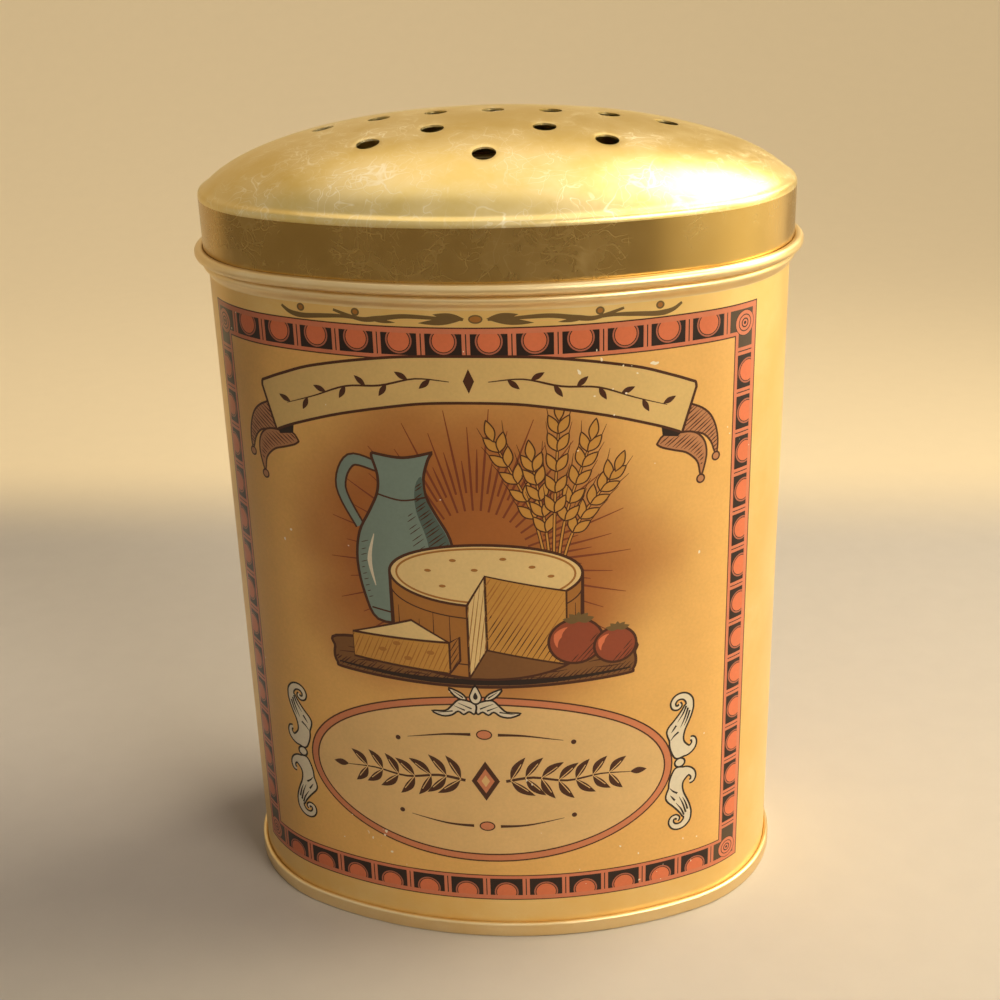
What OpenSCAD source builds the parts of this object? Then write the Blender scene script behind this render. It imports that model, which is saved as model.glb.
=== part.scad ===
// Oval grated-cheese shaker tin: a tinplate sleeve, its double-seamed bottom end
// and a pull-off domed lid with sprinkle holes. Millimetres, +Z up, front face -Y.
// The tin stands on the rim of its bottom seam, with the origin at the rim's middle.

/* [Sleeve] */
// Width over the sleeve's outside, along X
body_w = 84; // [70:0.5:110]
// Depth over the sleeve's outside, along Y
body_d = 57; // [52:0.5:66]
// Radius of the oval's two tight end arcs
end_r = 24; // [18:0.5:25]
// Height of the sleeve's rolled top edge above the table
body_h = 109; // [60:0.5:200]
// Thickness of the tinplate in every piece
sheet_t = 0.3; // [0.2:0.05:0.4]
// Outer diameter of the inward roll on the sleeve's top edge
top_roll_d = 1.4; // [1.2:0.1:2.4]
// Width of the lock seam on the inside of the left end
lock_seam_w = 4.6; // [3:0.2:7]

/* [Stop bead] */
// Distance from the sleeve's top edge down to the middle of the bead
bead_drop = 8.8; // [8.3:0.1:12]
// Height of the bead
bead_h = 2.6; // [2:0.1:4]
// How far the bead stands out of the sleeve
bead_out = 0.8; // [0.4:0.1:1.2]

/* [Bottom seam] */
// Height of the double seam
seam_h = 2.4; // [2.2:0.1:4]
// Outer corner radius of the seam's fold
seam_r = 0.45; // [0.35:0.05:0.5]
// Room between neighbouring layers of the seam
seam_gap = 0.03; // [0.02:0.01:0.05]
// Height of the recessed panel's underside above the table
panel_z = 2.8; // [1.5:0.1:6]
// Height of the groove round the panel, from the panel's underside
groove_h = 0.8; // [0.5:0.1:2]
// Width of the groove round the panel
groove_w = 1.8; // [1.2:0.1:4]

/* [Lid] */
// Room between the sleeve and the lid's skirt all round
lid_clear = 0.25; // [0.15:0.05:0.5]
// Room between the bead and the lid's rolled edge that rests on it
lid_rest_gap = 0.1; // [0.05:0.05:0.3]
// Outer diameter of the roll on the skirt's edge
curl_d = 1.6; // [1.2:0.1:2.4]
// Height from the rolled edge's underside to the start of the fold
skirt_h = 9; // [8.5:0.1:20]
// Radius of the fold between skirt and dome
fold_r = 2.9; // [1.5:0.1:5]
// Height of the dome from the start of the fold to the crown
dome_h = 10; // [6:0.1:18]

/* [Sprinkle holes] */
// Diameter of each hole
hole_d = 3.2; // [2:0.1:5]
// Spacing of the holes in the row along X
row_pitch = 8.1; // [6:0.1:12]
// Number of holes in that row
row_count = 7; // [3:2:7]
// Place of the inner holes beside the row, along X
inner_x = 7.6; // [5:0.1:12]
// Place of the inner holes beside the row, along Y
inner_y = 9.7; // [6:0.1:12]
// Place of the outer holes beside the row, along X
outer_x = 16; // [13:0.1:20]
// Place of the outer holes beside the row, along Y
outer_y = 12.9; // [10:0.1:14]
// Distance from the row to the front and back holes
far_y = 18.3; // [15:0.1:20]

/* [Hidden] */
$fn = 72;
// A length that reaches past the part, for cutting tools
beyond = 400;
// A short overshoot, for cuts that pass through a face
past = 1;

// The oval's four arcs: end arcs about (+-arc_x, 0), side arcs about (0, +-arc_y)
half_w = body_w / 2;
half_d = body_d / 2;
arc_x = half_w - end_r;
// Half turn of a side arc, in whole thousandths of a degree so that the arcs' ends match
side_turn = round(2000 * atan((half_d - end_r) / arc_x)) / 1000;
side_r = end_r + arc_x / sin(side_turn);
arc_y = arc_x / tan(side_turn);

// Layers of the double seam, as places outward from the sleeve's outside
layer = sheet_t + seam_gap;
seam_in = -2 * sheet_t - seam_gap;
seam_out = 3 * layer;
hook_floor = sheet_t + seam_gap;
hook_out = 2 * layer;
cover_in = seam_gap;

// Stop bead: the circle whose cap has the bead's height and stand-out
bead_z = body_h - bead_drop;
bead_r = (bead_h * bead_h / 4 + bead_out * bead_out) / (2 * bead_out);
bead_mid = bead_out - bead_r;

// Lid: skirt faces, and the roll's centre where it rests just clear of the bead
skirt_in = lid_clear;
skirt_out = lid_clear + sheet_t;
curl_r = curl_d / 2;
curl_mid = skirt_in + curl_r;
rest_reach = bead_r + lid_rest_gap + curl_r;
curl_z = bead_z + sqrt(pow(rest_reach, 2) - pow(curl_mid - bead_mid, 2));
lid_z = curl_z - curl_r;
fold_z = lid_z + skirt_h;
crown_z = fold_z + dome_h;

// The dome takes over where the fold has turned through the angle of a 3-4-5 triangle
fold_cos = 0.8;
fold_sin = 0.6;
fold_mid = skirt_out - fold_r;
dome_edge = fold_mid + fold_r * fold_cos;
dome_rise = crown_z - fold_z - fold_r * fold_sin;

// Arc radius of a dome of this rise that ends at a given half width
function dome_arc(half) = (half * half + dome_rise * dome_rise) / (2 * dome_rise);
dome_rx = dome_arc(half_w + dome_edge);
dome_ry = dome_arc(half_d + dome_edge);

// Moves by whole, thousandth and finer steps. Six written digits then hold each step
// exactly, so that neighbouring arcs meet without a sliver at any size.
module fine_shift(by) {
    whole = [for (step = by) round(step)];
    part = [for (step = by - whole) round(1000 * step) / 1000];
    translate(whole) translate(part) translate(by - whole - part) children();
}

// Turns a profile through part of a circle of a given radius, half a turn each side of the middle
module arc_sweep(radius, middle, half_turn) {
    rotate_extrude(angle = 2 * half_turn, start = middle - half_turn)
        intersection() {
            fine_shift([radius, 0]) children();
            translate([0, -beyond / 2]) square([beyond, beyond]);
        }
}

// Carries a profile round the oval: x is outward from the sleeve's outside, y is height
module oval_sweep() {
    for (side = [-1, 1])
        fine_shift([0, -side * arc_y, 0])
            arc_sweep(side_r, side * 90, side_turn) children();
    for (end = [-1, 1])
        fine_shift([end * arc_x, 0, 0])
            arc_sweep(end_r, 90 - end * 90, 90 - side_turn) children();
}

// Flat oval whose edge lies at a given place outward: two end discs joined by the lens
// that the side arcs enclose, which stops just short of where the arcs meet
module oval_plan(out) {
    meet_x = arc_x + (end_r + out) * sin(side_turn);
    intersection() {
        translate([0, -arc_y]) circle(side_r + out);
        translate([0, arc_y]) circle(side_r + out);
        square([2 * meet_x - past, beyond], center = true);
    }
    for (end = [-1, 1])
        translate([end * arc_x, 0]) circle(end_r + out);
}

// A rectangle between two places outward and two heights
module band(from, to, low, high) {
    translate([from, low]) square([to - from, high - low]);
}

// A band that reaches from the oval's middle out to a given place
module slab(to, low, high) {
    band(-half_d - past, to, low, high);
}

// A rolled sheet edge of three quarters of a turn; the open quarter is towards (x_side, z_side)
module roll(mid, z, radius, x_side, z_side) {
    translate([mid, z])
        difference() {
            circle(radius);
            circle(radius - sheet_t);
            scale([x_side, z_side]) square([radius + past, radius + past]);
        }
}

// A rectangle with all four corners rounded
module soft_band(from, to, low, high, radius) {
    band(from + radius, to - radius, low, high);
    band(from, to, low + radius, high - radius);
    for (x = [from + radius, to - radius], z = [low + radius, high - radius])
        translate([x, z]) circle(radius);
}

// Sleeve wall with its outward bead; the same sheet thickness runs through the bead
module wall_profile() {
    roll_r = top_roll_d / 2;
    difference() {
        union() {
            band(-sheet_t, 0, hook_floor, body_h - roll_r);
            intersection() {
                translate([bead_mid, bead_z]) circle(bead_r);
                band(-sheet_t / 2, bead_out + past, hook_floor, body_h);
            }
        }
        translate([bead_mid, bead_z]) circle(bead_r - sheet_t);
    }
    roll(-roll_r, body_h - roll_r, roll_r, 1, -1);
}

// Sleeve's flange turned out and up inside the seam
module flange_profile() {
    band(-sheet_t, hook_out, hook_floor, hook_floor + sheet_t);
    band(hook_out - sheet_t, hook_out, hook_floor, seam_h - layer);
}

// Strip of folded sheet where the sleeve's two edges lock, on the inside of the left end
module lock_seam() {
    low = panel_z + groove_h + 2 * sheet_t;
    high = bead_z - bead_h;
    intersection() {
        oval_sweep() band(-3 * sheet_t, -sheet_t / 2, low, high);
        translate([-beyond / 2, 0, 0]) cube([beyond, lock_seam_w, beyond], center = true);
    }
}

module body_sleeve() {
    color("goldenrod") {
        oval_sweep() {
            wall_profile();
            flange_profile();
        }
        lock_seam();
    }
}

// Sheet wrapped round the sleeve's flange: up the inside, under, up the outside and in again
module seam_profile() {
    difference() {
        soft_band(seam_in, seam_out, 0, seam_h, seam_r);
        band(seam_in + sheet_t, seam_out - sheet_t, sheet_t, seam_h - sheet_t);
        band(seam_in - past, cover_in, seam_h - seam_r - sheet_t, seam_h + past);
    }
    band(cover_in, cover_in + sheet_t, hook_floor + layer, seam_h - sheet_t / 2);
    band(seam_in, seam_in + sheet_t, seam_h / 2, panel_z + groove_h + sheet_t);
}

// Groove round the recessed panel, pressed up into the tin
module groove_profile() {
    inner = seam_in - groove_w;
    band(inner, seam_in + sheet_t, panel_z + groove_h, panel_z + groove_h + sheet_t);
    band(inner, inner + sheet_t, panel_z, panel_z + groove_h + sheet_t);
}

module bottom_end() {
    color("darkgoldenrod") {
        oval_sweep() {
            seam_profile();
            groove_profile();
        }
        translate([0, 0, panel_z])
            linear_extrude(sheet_t) oval_plan(seam_in - groove_w + sheet_t / 2);
    }
}

// Solid inside the skirt and fold, drawn in by a sheet's thickness for the inside face.
// Past the fold's arc it goes straight up, above the dome, which trims it.
module fold_profile(inset, low) {
    radius = fold_r - inset;
    translate([fold_mid, fold_z]) circle(radius);
    band(fold_mid, fold_mid + radius, low, fold_z);
    slab(fold_mid + radius * fold_sin, low, crown_z + past);
}

// Drum on its side whose top is the dome: its rim is arched along X and crowned along Y
module dome_solid(inset) {
    drum_w = body_d + 2 * curl_d + 2 * past;
    translate([0, 0, crown_z - dome_rx])
        rotate([90, 0, 0])
            rotate_extrude()
                intersection() {
                    translate([dome_rx - dome_ry, 0]) circle(dome_ry - inset);
                    translate([dome_rx - dome_ry, -drum_w / 2]) square([dome_ry, drum_w]);
                }
}

module dome_cap(inset, low) {
    intersection() {
        oval_sweep() fold_profile(inset, low);
        dome_solid(inset);
    }
}

// A row along X, and the holes beside it in front and behind
row_reach = (row_count - 1) / 2;
hole_places = concat(
    [for (i = [-row_reach:row_reach]) [i * row_pitch, 0]],
    [for (x = [-1, 1], y = [-1, 1]) [x * inner_x, y * inner_y]],
    [for (x = [-1, 1], y = [-1, 1]) [x * outer_x, y * outer_y]],
    [for (y = [-1, 1]) [0, y * far_y]]
);

module shaker_lid() {
    color("gold")
        difference() {
            union() {
                oval_sweep() roll(curl_mid, curl_z, curl_r, -1, 1);
                difference() {
                    dome_cap(0, curl_z);
                    dome_cap(sheet_t, curl_z - past);
                }
            }
            for (place = hole_places)
                translate([place.x, place.y, fold_z])
                    cylinder(d = hole_d, h = dome_h + past);
        }
}

body_sleeve();
bottom_end();
shaker_lid();
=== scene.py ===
"""Oval shaker tin for grated cheese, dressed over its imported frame.

The tin is three pieces of tinplate: a printed sleeve, a seamed bottom and a domed lid. Each
is built as a true sheet with two faces. Lengths are in millimetres until a mesh is written.
On the sleeve, s runs along the sheet from the middle of the front and z runs up.
"""

from __future__ import annotations

import logging
import math
from dataclasses import dataclass, field
from enum import Enum
from typing import Any, Iterator, Sequence

import bpy
from mathutils import Matrix, Vector
from mathutils.geometry import delaunay_2d_cdt

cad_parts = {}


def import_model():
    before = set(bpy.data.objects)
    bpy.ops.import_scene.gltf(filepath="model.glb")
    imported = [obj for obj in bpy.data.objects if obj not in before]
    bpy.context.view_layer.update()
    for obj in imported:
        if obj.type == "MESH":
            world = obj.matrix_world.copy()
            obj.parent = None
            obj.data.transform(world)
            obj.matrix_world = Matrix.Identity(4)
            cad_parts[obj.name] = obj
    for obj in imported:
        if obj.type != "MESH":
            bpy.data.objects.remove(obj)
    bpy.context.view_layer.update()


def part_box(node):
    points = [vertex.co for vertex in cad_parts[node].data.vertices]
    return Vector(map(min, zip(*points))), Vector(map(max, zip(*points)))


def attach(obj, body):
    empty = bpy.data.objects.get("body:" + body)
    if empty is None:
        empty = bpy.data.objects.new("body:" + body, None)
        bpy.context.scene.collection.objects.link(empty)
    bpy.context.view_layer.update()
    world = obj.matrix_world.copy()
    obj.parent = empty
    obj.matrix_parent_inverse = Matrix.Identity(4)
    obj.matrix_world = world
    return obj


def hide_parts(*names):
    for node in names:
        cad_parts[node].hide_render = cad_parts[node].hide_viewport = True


LOG = logging.getLogger("cheese_tin")
MM = 0.001
FULL_TURN = 2.0 * math.pi
TINY = 1e-9
# The range that most of a noise texture's values lie in
NOISE_SPAN = (0.3, 0.7)
# Along a leaf, the shares of its length and of its width
LEAF_HALVES = ((0.25, 0.38), (0.5, 0.5), (0.78, 0.3))

Point = tuple[float, float]
Place = tuple[float, float, float]
Shape = tuple["Ink", list[Point]]
Socket = bpy.types.NodeSocket
Tree = bpy.types.NodeTree


def linear(hex_colour: str) -> tuple[float, float, float, float]:
    """Turn an sRGB hex colour into linear light.

    Args:
        hex_colour: six hex digits.

    Returns:
        Red, green, blue and alpha as linear values.
    """
    channels = []
    for start in (0, 2, 4):
        value = int(hex_colour[start:start + 2], 16) / 255.0
        channels.append(value / 12.92 if value <= 0.04045 else ((value + 0.055) / 1.055) ** 2.4)
    return (channels[0], channels[1], channels[2], 1.0)


def scale_of(size: float) -> float:
    """Texture scale that gives a pattern of this size in millimetres."""
    return 1.0 / (size * MM)


def put(name: str, data: Any) -> bpy.types.Object:
    """Make an object and link it to the scene.

    Args:
        name: the object's name.
        data: its mesh, lamp or camera.

    Returns:
        The new object.
    """
    made = bpy.data.objects.new(name, data)
    bpy.context.scene.collection.objects.link(made)
    return made


def set_inputs(node: bpy.types.Node, inputs: dict[Any, Any]) -> None:
    """Give a node's inputs their values or links.

    Args:
        node: the node.
        inputs: values or output sockets, by the input's name or number.
    """
    for key, value in inputs.items():
        if isinstance(value, Socket):
            node.id_data.links.new(value, node.inputs[key])
        else:
            node.inputs[key].default_value = value


def add_node(tree: Tree, kind: str, inputs: dict[Any, Any] | None = None,
             **settings: Any) -> bpy.types.Node:
    """Add a node with its settings, values and links.

    Args:
        tree: the node tree that gets the node.
        kind: the node's Blender type.
        inputs: values or output sockets, by the input's name or number.
        settings: the node's own properties.

    Returns:
        The new node.
    """
    node = tree.nodes.new(kind)
    for name, value in settings.items():
        setattr(node, name, value)
    set_inputs(node, inputs or {})
    return node


def looked_at(tree: Tree) -> Socket:
    """Tell the rays that look at a surface from those that gather light.

    Args:
        tree: the node tree.

    Returns:
        A socket that is one on rays from the camera or a mirror, and nought on others.
    """
    path = add_node(tree, "ShaderNodeLightPath").outputs
    return add_node(tree, "ShaderNodeMath", {
        0: path["Is Camera Ray"], 1: path["Is Glossy Ray"]}, operation="MAXIMUM").outputs[0]


def new_material(name: str) -> tuple[bpy.types.Material, Tree, bpy.types.Node, Socket]:
    """Start a material with a Principled shader.

    Args:
        name: the material's name.

    Returns:
        The material, its node tree, the shader node and the object coordinates.
    """
    material = bpy.data.materials.new(name)
    material.use_nodes = True
    tree = material.node_tree
    tree.nodes.clear()
    shader = add_node(tree, "ShaderNodeBsdfPrincipled")
    add_node(tree, "ShaderNodeOutputMaterial", {"Surface": shader.outputs["BSDF"]})
    place = add_node(tree, "ShaderNodeTexCoord").outputs["Object"]
    return material, tree, shader, place


# Plane shapes for the print and the sheet sections

def smooth_path(points: Sequence[Point], closed: bool = False, steps: int = 6) -> list[Point]:
    """Draw a smooth curve through points.

    Args:
        points: the points that the curve passes.
        closed: whether the curve comes back to its start.
        steps: pieces per span.

    Returns:
        The curve's points.
    """
    count = len(points)
    spans = count if closed else count - 1
    path = []
    for i in range(spans):
        if closed:
            a, b, c, d = (points[(i + k - 1) % count] for k in range(4))
        else:
            a, b, c, d = (points[min(max(i + k - 1, 0), count - 1)] for k in range(4))
        for j in range(steps):
            t = j / steps
            path.append(tuple(
                0.5 * (2 * b[k] + (c[k] - a[k]) * t
                       + (2 * a[k] - 5 * b[k] + 4 * c[k] - d[k]) * t ** 2
                       + (3 * b[k] - a[k] - 3 * c[k] + d[k]) * t ** 3)
                for k in (0, 1)))
    if not closed:
        path.append(tuple(points[-1]))
    return path


def around(items: Sequence[Any]) -> Iterator[tuple[Any, Any]]:
    """Each item with the next one, and the last with the first."""
    return zip(items, [*items[1:], items[0]])


def moved(point: Sequence[float], way: Sequence[float], distance: float) -> Point:
    """A point moved by a distance along a direction."""
    return (point[0] + way[0] * distance, point[1] + way[1] * distance)


def polar(centre: Point, radius: float, angle: float) -> Point:
    """A point at a distance and an angle in radians."""
    return (centre[0] + radius * math.cos(angle), centre[1] + radius * math.sin(angle))


def heading(start: Point, end: Point) -> float:
    """Angle of the way from one point to another, in radians."""
    return math.atan2(end[1] - start[1], end[0] - start[0])


def placed(points: Sequence[Point], s: float, z: float = 0.0, side: float = 1.0) -> list[Point]:
    """Points moved along the sheet, and mirrored first where side is -1."""
    return [(s + side * p[0], z + p[1]) for p in points]


def arc(centre: Point, radius: float, start: float, end: float, count: int) -> list[Point]:
    """Points on an arc.

    Args:
        centre: the arc's middle.
        radius: its radius.
        start: first angle in degrees, from the first axis towards the second.
        end: last angle in degrees.
        count: number of steps.

    Returns:
        The arc's points, both ends included.
    """
    return [polar(centre, radius, math.radians(start + (end - start) * i / count))
            for i in range(count + 1)]


def ellipse(centre: Point, half_s: float, half_z: float, count: int = 24) -> list[Point]:
    """Points round an ellipse."""
    return [(centre[0] + half_s * math.cos(FULL_TURN * i / count),
             centre[1] + half_z * math.sin(FULL_TURN * i / count)) for i in range(count)]


def normals_of(path: Sequence[Point], closed: bool = False) -> list[Point]:
    """Unit normals on the right of a path.

    Args:
        path: the path's points.
        closed: whether it comes back to its start.

    Returns:
        One normal for each point.
    """
    count = len(path)
    found = []
    for i in range(count):
        before = path[i - 1] if closed or i > 0 else path[i]
        after = path[(i + 1) % count] if closed or i < count - 1 else path[i]
        step = (after[0] - before[0], after[1] - before[1])
        size = math.hypot(*step) or 1.0
        found.append((step[1] / size, -step[0] / size))
    return found


def offset(path: Sequence[Point], distance: float, closed: bool = False) -> list[Point]:
    """Move a path to its right by a distance."""
    return [moved(p, n, distance) for p, n in zip(path, normals_of(path, closed))]


def area_of(outline: Sequence[Point]) -> float:
    """Signed area of an outline, positive where it runs anticlockwise."""
    return 0.5 * sum(a[0] * b[1] - b[0] * a[1] for a, b in around(outline))


def hull_of(points: Sequence[Point]) -> list[Point]:
    """Draw the convex outline round a few points.

    Args:
        points: the points, in any order.

    Returns:
        The outline's corners, anticlockwise.
    """
    ordered = sorted(set(points))
    rows: list[list[Point]] = []
    for run in (ordered, ordered[::-1]):
        row: list[Point] = []
        for p in run:
            while len(row) > 1 and area_of((row[-2], row[-1], p)) <= TINY:
                row.pop()
            row.append(p)
        rows.append(row[:-1])
    return rows[0] + rows[1]


def leaf_outline(base: Point, tip: Point, width: float, bend: float = 0.0) -> list[Point]:
    """A pointed leaf.

    Args:
        base: where its stalk is.
        tip: its point.
        width: its greatest width.
        bend: how far its middle leaves the straight line, to the left of base to tip.

    Returns:
        The leaf's outline.
    """
    along = (tip[0] - base[0], tip[1] - base[1])
    size = math.hypot(*along) or 1.0
    left = (-along[1] / size, along[0] / size)
    sides = []
    for share, half in LEAF_HALVES:
        arch = bend * 4.0 * share * (1.0 - share)
        sides.append((moved(moved(base, along, share), left, arch), half * width))
    right_side = [moved(middle, left, -reach) for middle, reach in sides]
    left_side = [moved(middle, left, reach) for middle, reach in sides]
    first = smooth_path([base, *right_side, tip], steps=3)
    second = smooth_path([tip, *left_side[::-1], base], steps=3)
    return first + second[1:-1]


@dataclass(frozen=True)
class Oval:
    """Four-arc plan of the tin: tight end arcs and flat side arcs that meet in line."""

    half_w: float
    half_d: float
    end_r: float = 24.0

    @property
    def arc_x(self) -> float:
        """How far the end arcs' middles are from the tin's middle."""
        return self.half_w - self.end_r

    @property
    def turn(self) -> float:
        """Half of the angle that a side arc turns through."""
        return 2.0 * math.atan((self.half_d - self.end_r) / self.arc_x)

    @property
    def side_r(self) -> float:
        """Radius of the side arcs."""
        return self.end_r + self.arc_x / math.sin(self.turn)

    @property
    def arc_y(self) -> float:
        """How far the side arcs' middles are beyond the tin's middle."""
        return self.arc_x / math.tan(self.turn)

    @property
    def quarter(self) -> float:
        """Sheet length of a quarter of the plan."""
        return self.side_r * self.turn + self.end_r * (0.5 * math.pi - self.turn)

    @property
    def lap(self) -> float:
        """Sheet length of the whole plan."""
        return 4.0 * self.quarter

    def stations(self, count: int) -> list[float]:
        """Sheet lengths spread evenly round the plan."""
        return [self.lap * i / count for i in range(count)]

    def at(self, s: float, out: float = 0.0) -> tuple[Point, Point]:
        """Find a place on the plan.

        Args:
            s: sheet length from the middle of the front.
            out: distance outwards from the sheet's face.

        Returns:
            The place and the outward normal there.
        """
        quarter = self.quarter
        s = s % self.lap
        lap = int(s // quarter) % 4
        rest = s - lap * quarter
        s = rest if lap % 2 == 0 else quarter - rest
        meet = self.side_r * self.turn
        if s <= meet:
            angle, radius, middle = s / self.side_r, self.side_r, (0.0, self.arc_y)
        else:
            angle, radius = self.turn + (s - meet) / self.end_r, self.end_r
            middle = (self.arc_x, 0.0)
        flip_x = 1.0 if lap < 2 else -1.0
        flip_y = 1.0 if lap in (0, 3) else -1.0
        normal = (math.sin(angle), -math.cos(angle))
        x = middle[0] + (radius + out) * normal[0]
        y = middle[1] + (radius + out) * normal[1]
        return (flip_x * x, flip_y * y), (flip_x * normal[0], flip_y * normal[1])

    def gauge(self, x: float, y: float, out: float) -> float:
        """Find how far a place is from the middle.

        Args:
            x: the place across the tin.
            y: the place from front to back.
            out: distance of the edge outwards from the plan.

        Returns:
            Its share of the way from the middle to the edge.
        """
        size = math.hypot(x, y)
        if size < TINY:
            return 0.0
        across, along = abs(x) / size, abs(y) / size
        end_r, side_r = self.end_r + out, self.side_r + out
        reach = self.arc_x * across + math.sqrt(
            max((self.arc_x * across) ** 2 - self.arc_x ** 2 + end_r ** 2, 0.0))
        if reach * across - self.arc_x < reach * along * math.tan(self.turn):
            reach = -self.arc_y * along + math.sqrt(
                (self.arc_y * along) ** 2 - self.arc_y ** 2 + side_r ** 2)
        return size / reach


class SheetMesh:
    """Points, normals and faces of one piece, in millimetres."""

    def __init__(self) -> None:
        """Start with nothing."""
        self.points: list[Place] = []
        self.normals: list[Place] = []
        self.faces: list[tuple[int, ...]] = []
        self.finish: list[int] = []

    def add_point(self, place: Place, normal: Place) -> int:
        """Add a point.

        Args:
            place: where it is.
            normal: the outward normal there.

        Returns:
            The point's number.
        """
        self.points.append(place)
        self.normals.append(normal)
        return len(self.points) - 1

    def add_face(self, corners: Sequence[int], finish: int = 0) -> None:
        """Add a face, with its corners anticlockwise seen from outside."""
        self.faces.append(tuple(corners))
        self.finish.append(finish)

    def sweep(self, oval: Oval, stations: Sequence[float],
              sections: Sequence[Sequence[Point]]) -> list[list[int]]:
        """Sweep a section round a plan.

        Args:
            oval: the plan that the section follows.
            stations: sheet lengths round the plan.
            sections: for each station, the section's points as distance out and height. A section
                that closes ends with its first point.

        Returns:
            For each point of the section, the numbers of its ring's points.
        """
        closed = sections[0][0] == sections[0][-1]
        paths = [section[:-1] if closed else section for section in sections]
        leans = [normals_of(path, closed) for path in paths]
        rings = []
        for row in range(len(paths[0])):
            ring = []
            for s, path, lean in zip(stations, paths, leans):
                away, up = lean[row]
                place, out = oval.at(s, path[row][0])
                ring.append(self.add_point((*place, path[row][1]), (out[0] * away, out[1] * away, up)))
            rings.append(ring)
        return rings

    def add_band(self, low: Sequence[int], high: Sequence[int], finish: int = 0) -> None:
        """Join two rings by a band of faces."""
        for (a, b), (d, c) in zip(around(low), around(high)):
            self.add_face((a, b, c, d), finish)

    def write(self, name: str, finishes: Sequence[bpy.types.Material]) -> bpy.types.Object:
        """Make the Blender object.

        Args:
            name: the piece's name.
            finishes: its materials, in the order that the faces number them.

        Returns:
            The new object.
        """
        mesh = bpy.data.meshes.new(name)
        mesh.from_pydata([[v * MM for v in p] for p in self.points], [], self.faces)
        for material in finishes:
            mesh.materials.append(material)
        mesh.polygons.foreach_set("material_index", self.finish)
        mesh.polygons.foreach_set("use_smooth", [True] * len(self.faces))
        mesh.normals_split_custom_set_from_vertices(self.normals)
        mesh.update()
        piece = put(name, mesh)
        LOG.info("%s: %d points, %d faces", name, len(self.points), len(self.faces))
        return piece


# Finishes

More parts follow.
